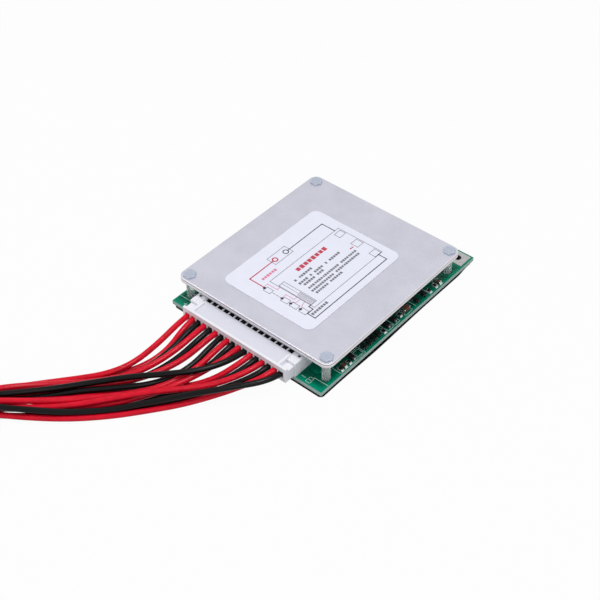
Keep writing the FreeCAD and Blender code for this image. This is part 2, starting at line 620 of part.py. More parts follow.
def chip(body, name, east, width, length, height, legs=(), north=0):
    """Small surface-mounted part: a body, and its legs as (x, y, width, length) about its middle."""
    case = new_sketch(body, name + "_case")
    rectangle(case, f"{east} - {width} / 2", f"{east} + {width} / 2",
              f"{north} - {length} / 2", f"{north} + {length} / 2")
    features = [pad(body, case, str(height))]
    if legs:
        feet = new_sketch(body, name + "_feet")
        for x, y, across, along in legs:
            rectangle(feet, f"{east} + {x} - {across} / 2", f"{east} + {x} + {across} / 2",
                      f"{north} + {y} - {along} / 2", f"{north} + {y} + {along} / 2")
        features.append(pad(body, feet, str(FOOT_THICKNESS)))
    return features


# Small parts: width, length and height, and how far their row is behind the plate's front edge
FOOT_THICKNESS = 0.2
PACKAGES = {
    "balance_resistors": (1.6, 3.2, 0.6, 12.4),
    "balance_transistors": (1.3, 2.9, 1.0, 16.9),
    "cell_detector_ics": (1.6, 2.9, 1.1, 21.4),
    "filter_capacitors": (1.25, 2.0, 0.85, 25.4),
    "filter_resistors": (1.25, 2.0, 0.5, 28.4),
}
LEGS_OF_THREE = [(-0.9, -0.95, 0.5, 0.4), (-0.9, 0.95, 0.5, 0.4), (0.9, 0, 0.5, 0.4)]
LEGS_OF_SIX = [(side, along, 0.5, 0.4) for side in (-1.05, 1.05) for along in (-0.95, 0, 0.95)]
CHANNEL_LEGS = {"balance_transistors": LEGS_OF_THREE, "cell_detector_ics": LEGS_OF_SIX}

# One of each small part for every cell of the battery
for name, (width, length, height, setback) in PACKAGES.items():
    row_body = new_body(name, "0", f"plate_front + {setback}", "board_top")
    features = chip(row_body, name, "first_channel", width, length, height, CHANNEL_LEGS.get(name, ()))
    repeat(row_body, features, "X_Axis", "channel_pitch", "channel_count")

# Four monitoring circuits with eight legs on each side: width, length and height
MONITOR_SIZE = (4.4, 5.2, 1.1)
MONITOR_LEG_PITCH = 0.65
MONITOR_LEGS = [(side, MONITOR_LEG_PITCH * (step - 3.5), 0.9, 0.3)
                for side in (-2.6, 2.6) for step in range(8)]
monitors = new_body("monitor_ics", "0", "plate_front + monitor_row", "board_top")
features = chip(monitors, "monitor", "0 - monitor_pitch * 1.5", *MONITOR_SIZE, MONITOR_LEGS)
repeat(monitors, features, "X_Axis", "monitor_pitch", "4")

# Five low-value resistors that the pack current flows through: width, length and height
SHUNT_SIZE = (6.3, 3.2, 0.8)
shunts = new_body("current_shunts", "0", "plate_front + shunt_row", "board_top")
features = chip(shunts, "shunt", "0 - shunt_pitch * 2", *SHUNT_SIZE)
repeat(shunts, features, "X_Axis", "shunt_pitch", "5")

# Parts in the strip of board that shows beside the plate: how far each is in from the board's side and
# behind the plate's front edge, then its width, length and height
EDGE_PARTS = {
    "edge_transistors": [(2.3, 21.4, 2.9, 1.3, 1.0), (2.3, 23.9, 2.9, 1.3, 1.0), (2.3, 26.3, 2.9, 1.3, 1.0),
                         (2.3, 28.7, 2.9, 1.3, 1.0), (2.3, 49.9, 2.9, 1.3, 1.0), (2.3, 53.9, 2.9, 1.3, 1.0)],
    "edge_resistors": [(1.9, 8.7, 2.0, 1.25, 0.5), (1.9, 12.8, 2.0, 1.25, 0.5), (1.9, 31.0, 2.0, 1.25, 0.5),
                       (2.6, 40.6, 2.0, 1.25, 0.5), (1.9, 56.6, 2.0, 1.25, 0.5), (1.9, 59.9, 2.0, 1.25, 0.5)],
    "edge_capacitors": [(1.9, 10.5, 2.0, 1.25, 1.0), (2.2, 43.9, 1.6, 3.2, 1.6), (1.9, 62.2, 2.0, 1.25, 1.0)],
    "edge_diodes": [(2.4, 15.0, 2.6, 1.6, 1.1), (2.7, 33.9, 2.6, 1.6, 1.1), (2.7, 37.4, 2.6, 1.6, 1.1)],
}
EDGE_LEGS = {
    "edge_transistors": [(-0.95, -0.9, 0.4, 0.5), (0.95, -0.9, 0.4, 0.5), (0, 0.9, 0.4, 0.5)],
    "edge_diodes": [(-1.5, 0, 0.5, 0.7), (1.5, 0, 0.5, 0.7)],
}
for name, places in EDGE_PARTS.items():
    group = new_body(name, "0", "plate_front", "board_top")
    for number, (inset, setback, width, length, height) in enumerate(places, 1):
        chip(group, f"{name}_{number}", f"board_width / 2 - {inset}", width, length, height,
             EDGE_LEGS.get(name, ()), setback)

# Direction of the tied bundle, the way to its left, and its mouth
ALONG = Vector(math.cos(BUNDLE_ANGLE), math.sin(BUNDLE_ANGLE))
LEFT = Vector(-ALONG.y, ALONG.x)
CONNECTOR_EDGE = Vector(0, value("0 - board_length / 2"))
MOUTH = Vector(*BUNDLE_MOUTH) + CONNECTOR_EDGE


def lead_points(number):
    """Route of one lead: its crimp, the points chosen by hand, and its place in the bundle."""
    start = Vector(value("connector_shift + first_pin") + (number - 1) * value("pin_pitch"),
                   value("terminal_front - terminal_length - board_length / 2"),
                   value("board_top + pin_height"))
    outside = start - Vector(0, LEAD_STRAIGHT, 0)
    steps, layer = BUNDLE_PLACES[number]
    end = MOUTH + LEFT * (steps * BUNDLE_STEP) + Vector(0, 0, BUNDLE_LAYERS[layer])
    middle = [Vector(*point) + CONNECTOR_EDGE for point in LEAD_ROUTES[number]]
    return [start, outside] + middle + [end - ALONG * BUNDLE_RUN_IN, end]


def bent_path(points, share=0.45):
    """Straight runs joined by tangent arcs, each as large as its two runs allow."""
    edges = []
    radii = []
    cursor = points[0]
    for before, corner, after in zip(points, points[1:], points[2:]):
        back = (before - corner).normalize()
        ahead = (after - corner).normalize()
        reach = share * min(before.distanceToPoint(corner), corner.distanceToPoint(after))
        turn = math.pi - back.getAngle(ahead)
        radius = reach / math.tan(turn / 2)
        inward = (back + ahead).normalize()
        deepest = corner + inward * (radius / math.cos(turn / 2) - radius)
        start = corner + back * reach
        end = corner + ahead * reach
        edges.append(Part.LineSegment(cursor, start).toShape())
        edges.append(Part.Arc(start, deepest, end).toShape())
        radii.append(radius)
        cursor = end
    edges.append(Part.LineSegment(cursor, points[-1]).toShape())
    return Part.Wire(edges), radii


def tube_along(points, diameter):
    """Round tube along such a path."""
    path, radii = bent_path(points)
    section = Part.Face(Part.Wire([Part.Circle(points[0], points[1] - points[0], diameter / 2).toShape()]))
    return path.makePipe(section), path.Length, radii


# Seventeen sense leads, each from its crimp to the mouth of the tied bundle
for number in LEAD_ROUTES:
    tube, length, radii = tube_along(lead_points(number), value("lead_diameter"))
    lead = doc.addObject("Part::Feature", f"lead_{number:02d}")
    lead.Label = f"lead_{number:02d}"
    lead.Shape = tube
    lead.Placement = FreeCAD.Placement()
    parts.append(lead)
    filled = tube.Volume / (math.pi * value("lead_diameter") ** 2 / 4 * length)
    print(f"lead {number}: {length:.1f} mm, smallest radius {min(radii):.1f}, volume ratio {filled:.4f}")

# Coil of the stored length of all the leads, on its tie
COIL_MIDDLE = MOUTH + ALONG * COIL_STUB + LEFT * COIL_RADIUS
COIL_OUTSIDE = COIL_RADIUS + COIL_BAND / 2
turned = FreeCAD.Rotation(Vector(0, 0, 1), math.degrees(BUNDLE_ANGLE))


def solid_box(name, middle, along, across, bottom, top):
    """Box turned to the bundle's direction, from the middle of one end."""
    box = doc.addObject("Part::Box", name)
    box.Length = along
    box.Width = across
    box.Height = top - bottom
    box.Placement = FreeCAD.Placement(middle - LEFT * (across / 2) + Vector(0, 0, bottom), turned)
    return box


def solid_cylinder(name, middle, radius, bottom, top):
    cylinder = doc.addObject("Part::Cylinder", name)
    cylinder.Radius = radius
    cylinder.Height = top - bottom
    cylinder.Placement = FreeCAD.Placement(middle + Vector(0, 0, bottom), FreeCAD.Rotation())
    return cylinder


def combine(kind, name, first, second):
    result = doc.addObject("Part::" + kind, name)
    result.Label = name
    result.Base = first
    result.Tool = second
    return result


stub = solid_box("coil_stub", MOUTH, COIL_STUB, COIL_STUB_BAND, COIL_BOTTOM, COIL_TOP)
disc = solid_cylinder("coil_disc", COIL_MIDDLE, COIL_OUTSIDE, COIL_BOTTOM, COIL_TOP)
eye = solid_cylinder("coil_eye", COIL_MIDDLE, COIL_EYE, COIL_BOTTOM - 1, COIL_TOP + 1)
ring = combine("Cut", "coil_ring", disc, eye)
parts.append(combine("Fuse", "harness_coil", ring, stub))
# Strap round the coil on the far side from where the leads come in
inner_edge = COIL_MIDDLE + LEFT * (COIL_EYE - TIE_SLACK)
section = COIL_OUTSIDE - COIL_EYE + 2 * TIE_SLACK
middle = inner_edge + LEFT * (section / 2) - ALONG * (TIE_WIDTH / 2)
outer = solid_box("tie_outside", middle, TIE_WIDTH, section + 2 * TIE_THICKNESS, 0,
                  COIL_TOP + TIE_THICKNESS)
inner = solid_box("tie_inside", middle - ALONG, TIE_WIDTH + 2, section, COIL_BOTTOM, COIL_TOP)
parts.append(combine("Cut", "coil_tie", outer, inner))

doc.recompute()
for item in doc.Objects:
    if "Invalid" in item.State or "Error" in item.State:
        raise RuntimeError(f"{item.Label} failed: {item.State}")
for part in parts:
    if part.Shape.isNull() or not part.Shape.isValid() or not part.Shape.Solids:
        raise RuntimeError(f"{part.Label} has no valid solid")

os.makedirs("parts", exist_ok=True)
for part in parts:
    part.Shape.exportStep(os.path.join("parts", part.Label + ".step"))
    box = part.Shape.BoundBox
    print(f"{part.Label}: {len(part.Shape.Solids)} solids, x {box.XMin:.2f} {box.XMax:.2f}, "
          f"y {box.YMin:.2f} {box.YMax:.2f}, z {box.ZMin:.2f} {box.ZMax:.2f}, "
          f"volume {part.Shape.Volume:.1f}")
print(len(parts), "sub-parts")
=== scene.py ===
import bmesh
import bpy
import math
from bpy.props import FloatProperty, FloatVectorProperty, IntProperty, PointerProperty
from bpy.types import Operator, Panel, PropertyGroup
from mathutils import Matrix, Vector


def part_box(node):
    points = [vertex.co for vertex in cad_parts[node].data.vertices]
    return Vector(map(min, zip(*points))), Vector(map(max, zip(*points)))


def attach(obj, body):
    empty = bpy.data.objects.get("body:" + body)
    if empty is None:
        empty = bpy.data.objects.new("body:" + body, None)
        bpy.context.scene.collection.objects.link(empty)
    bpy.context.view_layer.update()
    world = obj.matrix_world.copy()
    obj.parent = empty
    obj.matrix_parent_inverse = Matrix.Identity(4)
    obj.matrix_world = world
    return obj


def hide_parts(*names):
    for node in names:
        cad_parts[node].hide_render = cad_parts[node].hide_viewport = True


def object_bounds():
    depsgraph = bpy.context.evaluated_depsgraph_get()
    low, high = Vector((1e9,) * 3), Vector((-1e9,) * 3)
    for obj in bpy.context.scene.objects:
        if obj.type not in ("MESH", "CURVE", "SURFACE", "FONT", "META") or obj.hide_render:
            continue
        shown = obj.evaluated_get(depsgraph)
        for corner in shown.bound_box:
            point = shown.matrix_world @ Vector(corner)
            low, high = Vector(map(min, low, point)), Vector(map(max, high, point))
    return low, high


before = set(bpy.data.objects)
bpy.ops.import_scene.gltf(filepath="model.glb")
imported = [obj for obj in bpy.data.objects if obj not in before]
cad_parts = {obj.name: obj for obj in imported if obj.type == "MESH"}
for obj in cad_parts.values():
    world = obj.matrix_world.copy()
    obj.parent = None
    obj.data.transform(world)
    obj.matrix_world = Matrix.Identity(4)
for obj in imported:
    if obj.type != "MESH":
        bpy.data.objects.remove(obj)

bl_info = {
    "name": "Battery management board",
    "version": (1, 0, 0),
    "blender": (4, 5, 0),
    "location": "3D View > Sidebar > Board",
    "description": "Dresses the construction of a battery management board and sets up its picture",
    "category": "Add Mesh",
}

CAD_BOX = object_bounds()
MM = 0.001

# Sizes of the construction that its boxes don't give
PLATE_CORNER = 2.8 * MM
LABEL_CORNER = 2.7 * MM
SCREW_RADIUS = 1.5 * MM
SCREW_TIP_RADIUS = 1.15 * MM
SCREW_HOLE_RADIUS = 1.6 * MM
NUT_BORE_RADIUS = 1.55 * MM
PIN_HOLE_RADIUS = 0.475 * MM
PIN_HALF = 0.32 * MM
PAD_DRILL_RADIUS = 1.55 * MM
LEG_SPACING = 5.08 * MM

# Vertices closer than this are one, and the height of print, both in metres
MERGE_DISTANCE = 1e-7
PRINT_HEIGHT = 0.015 * MM

# Finishes by their place in a piece's list: on a soldered part, after its body, and on the label
METAL, TOP = 1, 2
DARK, GREY, RED, PINK = range(4)


def shade(red, green, blue):
    """Colour as a shader takes it, from the values that a picture shows."""
    def linear(level):
        part = level / 255
        return part / 12.92 if part <= 0.04045 else ((part + 0.055) / 1.055) ** 2.4
    return (linear(red), linear(green), linear(blue))


def scaled(colour, share):
    """Colour made darker or lighter by a share."""
    return tuple(min(1.0, level * share) for level in colour)


class PhotographView(PropertyGroup):
    """Where the picture is taken from"""
    azimuth: FloatProperty(name="Azimuth", description="Turn of the camera round the board",
                           subtype="ANGLE", default=math.radians(40.133))
    elevation: FloatProperty(name="Elevation", description="Height of the camera above the horizon",
                             subtype="ANGLE", default=math.radians(43.443))
    roll: FloatProperty(name="Roll", description="Turn of the camera about its own line of sight",
                        subtype="ANGLE", default=math.radians(0.202))
    distance: FloatProperty(name="Distance", description="Camera to the middle of the plate",
                            unit="LENGTH", default=0.407184)
    rightward: FloatProperty(name="Rightward", unit="LENGTH", default=0.00708,
                             description="Plate's middle to the right of the line of sight")
    upward: FloatProperty(name="Upward", description="Plate's middle above the line of sight",
                          unit="LENGTH", default=0.012671)
    lens: FloatProperty(name="Lens", description="Focal length in millimetres on a 36 mm sensor",
                        default=72.43)


class HarnessSizes(PropertyGroup):
    """Sense leads, in metres"""
    lead_diameter: FloatProperty(name="Lead", description="Lead over its insulation",
                                 unit="LENGTH", default=0.002)
    lead_length: FloatProperty(name="Length", description="Lead from its crimp to its stripped end",
                               unit="LENGTH", default=0.3)
    tip_length: FloatProperty(name="Tip", description="Tinned copper beyond the insulation",
                              unit="LENGTH", default=0.005)
    tip_diameter: FloatProperty(name="Tip diameter", description="Tinned and twisted copper",
                                unit="LENGTH", default=0.0011)
    coil_points: IntProperty(name="Coil points", description="Route points in each turn of the coil",
                             default=18)
    red: FloatVectorProperty(name="Red", description="Insulation of the red leads",
                             subtype="COLOR", default=shade(213, 14, 42))
    black: FloatVectorProperty(name="Black", description="Insulation of the black leads",
                               subtype="COLOR", default=shade(9, 9, 11))


class BoardColours(PropertyGroup):
    """Colours of the board and of what is on it"""
    mask: FloatVectorProperty(name="Mask", description="Green lacquer of the circuit board",
                              subtype="COLOR", default=shade(0, 140, 108))
    laminate: FloatVectorProperty(name="Laminate", description="Cut edge of the circuit board",
                                  subtype="COLOR", default=shade(160, 186, 180))
    silk: FloatVectorProperty(name="Marking", description="White marking lines on the circuit board",
                              subtype="COLOR", default=shade(176, 204, 196))
    film: FloatVectorProperty(name="Sheet", description="Glossy insulating sheet",
                              subtype="COLOR", default=shade(14, 14, 17))
    plate: FloatVectorProperty(name="Plate", description="Aluminium plate",
                               subtype="COLOR", default=shade(198, 198, 209))
    label: FloatVectorProperty(name="Label", description="Label paper",
                               subtype="COLOR", default=shade(231, 232, 246))
    ink: FloatVectorProperty(name="Ink", description="Dark print on the label",
                             subtype="COLOR", default=shade(58, 58, 66))
    pale_ink: FloatVectorProperty(name="Pale ink", description="Thin grey print on the label",
                                  subtype="COLOR", default=shade(104, 104, 116))
    red_ink: FloatVectorProperty(name="Red ink", description="Red print on the label",
                                 subtype="COLOR", default=shade(190, 22, 66))
    nylon: FloatVectorProperty(name="Screw heads", subtype="COLOR", default=shade(199, 208, 226),
                               description="Nylon of the screws' heads and the nuts")
    clear_nylon: FloatVectorProperty(name="Screw shanks", subtype="COLOR", default=shade(246, 250, 252),
                                     description="Clear nylon of the screws' shanks")
    connector: FloatVectorProperty(name="Connector", subtype="COLOR", default=shade(236, 236, 244),
                                   description="White nylon of the header and the plug")
    tin: FloatVectorProperty(name="Tin", description="Tinned metal",
                             subtype="COLOR", default=shade(205, 205, 205))
    epoxy: FloatVectorProperty(name="Epoxy", description="Moulded bodies of the chips",
                               subtype="COLOR", default=shade(19, 19, 22))
    ceramic: FloatVectorProperty(name="Ceramic", description="Bodies of the capacitors",
                                 subtype="COLOR", default=shade(106, 64, 48))
    # Painted shade: the terminals are painted far darker than bronze, for the deep shade down in the
    # plug's windows
    bronze: FloatVectorProperty(name="Terminals", subtype="COLOR", default=shade(52, 50, 50),
                                description="Tarnished bronze of the crimp terminals")
    silicone: FloatVectorProperty(name="Thermal pads", subtype="COLOR", default=shade(150, 160, 172),
                                  description="Soft pads between transistors and plate")


class Signal:
    """Value or colour on its way through the nodes of a finish"""

    def __init__(self, finish, socket):
        self.finish = finish
        self.socket = socket

    def maths(self, operation, *terms):
        return self.finish.node("ShaderNodeMath", {"operation": operation}, dict(enumerate(terms)))

    def __add__(self, other):
        return self.maths("ADD", self, other)

    def __radd__(self, other):
        return self.maths("ADD", other, self)

    def __sub__(self, other):
        return self.maths("SUBTRACT", self, other)

    def __rsub__(self, other):
        return self.maths("SUBTRACT", other, self)

    def __mul__(self, other):
        return self.maths("MULTIPLY", self, other)

    def __rmul__(self, other):
        return self.maths("MULTIPLY", other, self)

    def __truediv__(self, other):
        return self.maths("DIVIDE", self, other)

    def __rtruediv__(self, other):
        return self.maths("DIVIDE", other, self)

    def __gt__(self, other):
        return self.maths("GREATER_THAN", self, other)

    def __lt__(self, other):
        return self.maths("LESS_THAN", self, other)

    def __abs__(self):
        return self.maths("ABSOLUTE", self)


class NodeWork:
    """Empty node tree, filled one node at a time"""

    def __init__(self, tree):
        self.tree = tree
        self.tree.nodes.clear()

    def node(self, kind, settings=None, sockets=None, output=0):
        """Output of a new node, from its type, settings and the values or links of its sockets."""
        made = self.tree.nodes.new(kind)
        for name, setting in (settings or {}).items():
            setattr(made, name, setting)
        for key, given in (sockets or {}).items():
            if isinstance(given, Signal):
                self.tree.links.new(given.socket, made.inputs[key])
            else:
                made.inputs[key].default_value = given
        return Signal(self, made.outputs[output]) if made.outputs else None

    def direct_rays(self):
        """1 for a ray of the camera, a reflection or something clear, and 0 for light."""
        others = 1.0
        for ray in ("Is Camera Ray", "Is Glossy Ray", "Is Transmission Ray"):
            others = others * (1 - self.node("ShaderNodeLightPath", output=ray))
        return 1 - others


class Finish(NodeWork):
    """Node material of one surface"""

    def __init__(self, name):
        self.material = bpy.data.materials.new(name)
        self.material.use_nodes = True
        super().__init__(self.material.node_tree)
        coordinates = self.node("ShaderNodeTexCoord", output="Object")
        self.place = self.node("ShaderNodeVectorMath", {"operation": "SCALE"},
                               {0: coordinates, "Scale": 1000.0})

    def axis(self, name):
        """One coordinate of the place on the surface, in millimetres."""
        return self.node("ShaderNodeSeparateXYZ", None, {0: self.place}, name)

    def stretched(self, along, across, up):
        """Place on the surface, counted in grains of these sizes in millimetres."""
        return self.node("ShaderNodeVectorMath", {"operation": "MULTIPLY"},
                         {0: self.place, 1: (1 / along, 1 / across, 1 / up)})

    def noise(self, grain, detail=3.0, place=None, roughness=0.55):
        """Cloudy pattern between 0 and 1, with a grain in millimetres."""
        return self.node("ShaderNodeTexNoise", None, {
            "Vector": place or self.place, "Scale": 1 / grain,
            "Detail": detail, "Roughness": roughness})

    def mix(self, share, first, second):
        """Colour between two others."""
        def opaque(given):
            return given if isinstance(given, Signal) else (*given, 1.0)
        return self.node("ShaderNodeMix", {"data_type": "RGBA"},
                         {0: share, 6: opaque(first), 7: opaque(second)}, 2)

    def between(self, signal, low, high, start=0.0, end=1.0):
        """Signal moved from one range to another, and held at its ends."""
        return self.node("ShaderNodeMapRange", {"interpolation_type": "SMOOTHSTEP"}, {
            "Value": signal, "From Min": low, "From Max": high, "To Min": start, "To Max": end})

    def clouded(self, cloud, low=0.0, high=1.0):
        """Cloudy pattern, drawn out to the range between two values."""
        return self.between(cloud, 0.3, 0.7, low, high)

    def bump(self, height, depth, strength):
        """Normal of a surface whose relief is a signal times a depth in millimetres."""
        return self.node("ShaderNodeBump", None,
                         {"Height": height, "Distance": depth * MM, "Strength": strength})

    def surface(self, sockets):
        """Plastic, paint or metal with these values or links, by the names of its sockets."""
        named = {key: (*given, 1.0) if "Color" in key and not isinstance(given, Signal) else given
                 for key, given in sockets.items()}
        principled = self.node("ShaderNodeBsdfPrincipled", None, named)
        self.node("ShaderNodeOutputMaterial", None, {"Surface": principled})
        return self.material

    def speckled(self, colour, spread, grain):
        """Colour that varies a little over the surface, darker and lighter by a share."""
        cloud = self.clouded(self.noise(grain, 4.0))
        return self.mix(cloud, scaled(colour, 1 - spread), scaled(colour, 1 + spread))


def link(obj):
    """Object, once it is in the scene."""
    bpy.context.scene.collection.objects.link(obj)
    return obj


def settle(obj, slot, *nodes):
    """Piece of the object, and the CAD pieces that it stands for; the slot argument is not used."""
    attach(obj, "root")
    if nodes:
        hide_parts(*nodes)
    return obj


def piece(name, shape, materials, slot, *nodes, even=True):
    """Mesh piece of the object from a bmesh."""
    mesh = bpy.data.meshes.new(name)
    bmesh.ops.recalc_face_normals(shape, faces=shape.faces)
    shape.to_mesh(mesh)
    shape.free()
    for material in materials:
        mesh.materials.append(material)
    mesh.shade_smooth()
    mesh.set_sharp_from_angle(angle=math.radians(35))
    obj = link(bpy.data.objects.new(name, mesh))
    if even:
        keeper = obj.modifiers.new("even_shading", "WEIGHTED_NORMAL")
        keeper.keep_sharp = True
    return settle(obj, slot, *nodes)


def cad_shape(node):
    """Copy of the mesh of a CAD piece."""
    shape = bmesh.new()
    shape.from_mesh(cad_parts[node].data)
    bmesh.ops.remove_doubles(shape, verts=shape.verts, dist=MERGE_DISTANCE)
    return shape


def softened(node, width, segments):
    """Copy of a CAD piece with its sharp edges rounded."""
    shape = cad_shape(node)
    bmesh.ops.dissolve_limit(shape, angle_limit=math.radians(1),
                             verts=shape.verts, edges=shape.edges)
    sharp = [edge for edge in shape.edges
             if len(edge.link_faces) == 2 and edge.calc_face_angle() > math.radians(30)]
    bmesh.ops.bevel(shape, geom=sharp, offset=width, segments=segments, profile=0.6,
                    affect="EDGES", clamp_overlap=True)
    return shape


def dressed(name, node, width, material, slot, segments=2):
    """CAD piece with rounded edges and a finish."""
    piece(name, softened(node, width, segments), [material], slot, node)


def solids_of(node):
    """Lowest and highest corner of each separate solid of a CAD piece, row by row."""
    shape = cad_shape(node)
    waiting = set(shape.verts)
    boxes = []
    while waiting:
        reached = [waiting.pop()]
        for vert in reached:
            beyond = [edge.other_vert(vert) for edge in vert.link_edges]
            for other in beyond:
                if other in waiting:
                    waiting.remove(other)
                    reached.append(other)
        low = Vector([min(vert.co[axis] for vert in reached) for axis in range(3)])
        high = Vector([max(vert.co[axis] for vert in reached) for axis in range(3)])
        boxes.append((low, high))
    shape.free()
    return sorted(boxes, key=lambda box: (round(box[0].y, 4), box[0].x))


def centre_of(low, high):
    """Middle of a box from above, as (x, y) in metres."""
    return ((low.x + high.x) / 2, (low.y + high.y) / 2)


def centres_of(node):
    """Middle of each solid of a CAD piece from above."""
    return [centre_of(low, high) for low, high in solids_of(node)]


def joined(shape, rings):
    """Faces between rings of vertices that follow each other."""
    faces = []
    for before, after in zip(rings, rings[1:]):
        for number, vert in enumerate(before):
            following = (number + 1) % len(before)
            faces.append(shape.faces.new([vert, before[following], after[following], after[number]]))
    return faces


def block(shape, low, high, edge=0.0, draft=0.0, finish=0, segments=2):
    """Box between two corners with rounded edges, narrower at its top by the draft."""
    made = bmesh.ops.create_cube(shape, size=1.0)["verts"]
    low = Vector(low)
    high = Vector(high)
    middle = (low + high) / 2
    for vert in made:
        pull = draft if vert.co.z > 0 else 0.0
        across = [vert.co[axis] * (high[axis] - low[axis] - 2 * pull) for axis in (0, 1)]
        vert.co = middle + Vector((*across, vert.co.z * (high.z - low.z)))
    faces = {face for vert in made for face in vert.link_faces}
    for face in faces:
        face.material_index = finish
    if edge:
        edges = {side for face in faces for side in face.edges}
        bmesh.ops.bevel(shape, geom=list(edges), offset=edge, segments=segments, profile=0.5,
                        affect="EDGES", clamp_overlap=True, material=-1)


def extruded(shape, outline, step, finish):
    """Prism from a closed outline of points, pushed along a step."""
    near = [shape.verts.new(point) for point in outline]
    far = [shape.verts.new(Vector(point) + Vector(step)) for point in outline]
    faces = [shape.faces.new(near), shape.faces.new(list(reversed(far)))]
    for number, vert in enumerate(near):
        following = (number + 1) % len(near)
        faces.append(shape.faces.new([vert, far[number], far[following], near[following]]))
    for face in faces:
        face.material_index = finish


def arc(centre, radius, start, end, steps):
    """Points of an arc between two angles in degrees."""
    angles = [math.radians(start + (end - start) * step / steps) for step in range(steps + 1)]
    return [(centre[0] + radius * math.cos(angle), centre[1] + radius * math.sin(angle))
            for angle in angles]


def rounded_rectangle(low, high, radius, steps=8):
    """Anticlockwise outline of a rectangle with round corners."""
    corners = ((high[0] - radius, high[1] - radius, 0), (low[0] + radius, high[1] - radius, 90),
               (low[0] + radius, low[1] + radius, 180), (high[0] - radius, low[1] + radius, 270))
    outline = []
    for east, north, start in corners:
        outline += arc((east, north), radius, start, start + 90, steps)
    return outline


def round_spot(centre, radius):
    """Anticlockwise outline of a round spot."""
    return arc(centre, radius, 0, 345, 23)


def round_hole(centre, radius, steps=24):
    """Clockwise outline of a round hole."""
    return arc(centre, radius, 360, 360 / steps, steps - 1)


def cut_sheet(outline, holes, low, high, edge):
    """Flat piece with softly broken edges, cut to an outline with holes in it."""
    curve = bpy.data.curves.new("cut_sheet", "CURVE")
    curve.dimensions = "2D"
    curve.fill_mode = "BOTH"
    curve.extrude = (high - low) / 2 - edge
    curve.bevel_depth = edge
    curve.bevel_resolution = 2
    curve.offset = -edge
    for points in [outline, *holes]:
        spline = curve.splines.new("POLY")
        spline.points.add(len(points) - 1)
        for target, point in zip(spline.points, points):
            target.co = (*point, 0, 1)
        spline.use_cyclic_u = True
    holder = link(bpy.data.objects.new("cut_sheet", curve))
    evaluated = holder.evaluated_get(bpy.context.evaluated_depsgraph_get())
    mesh = bpy.data.meshes.new_from_object(evaluated)
    shape = bmesh.new()
    shape.from_mesh(mesh)
    bmesh.ops.translate(shape, verts=shape.verts, vec=(0, 0, (low + high) / 2))
    bmesh.ops.remove_doubles(shape, verts=shape.verts, dist=MERGE_DISTANCE)
    bpy.data.objects.remove(holder)
    bpy.data.curves.remove(curve)
    bpy.data.meshes.remove(mesh)
    return shape


class BOARD_OT_camera(Operator):
    """Set the camera where the photograph was taken"""
    bl_idname = "board.camera"
    bl_label = "Camera"

    def execute(self, context):
        view = context.scene.photograph_view
        east = Vector((math.cos(view.azimuth), math.sin(view.azimuth), 0))
        back = Vector((math.sin(view.azimuth) * math.cos(view.elevation),
                       -math.cos(view.azimuth) * math.cos(view.elevation),
                       math.sin(view.elevation)))
        up = back.cross(east)
        right = east * math.cos(view.roll) + up * math.sin(view.roll)
        top = up * math.cos(view.roll) - east * math.sin(view.roll)
        low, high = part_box("heatsink_plate")
        middle = Vector((*centre_of(low, high), high.z))
        data = bpy.data.cameras.new("camera")
        data.lens = view.lens
        data.sensor_width = 36
        data.clip_start = 0.01
        data.clip_end = 20
        camera = link(bpy.data.objects.new("camera", data))
        camera.matrix_world = Matrix.Translation(
            middle + back * view.distance - right * view.rightward - top * view.upward
        ) @ Matrix((right, top, back)).transposed().to_4x4()
        context.scene.camera = camera
        return {"FINISHED"}


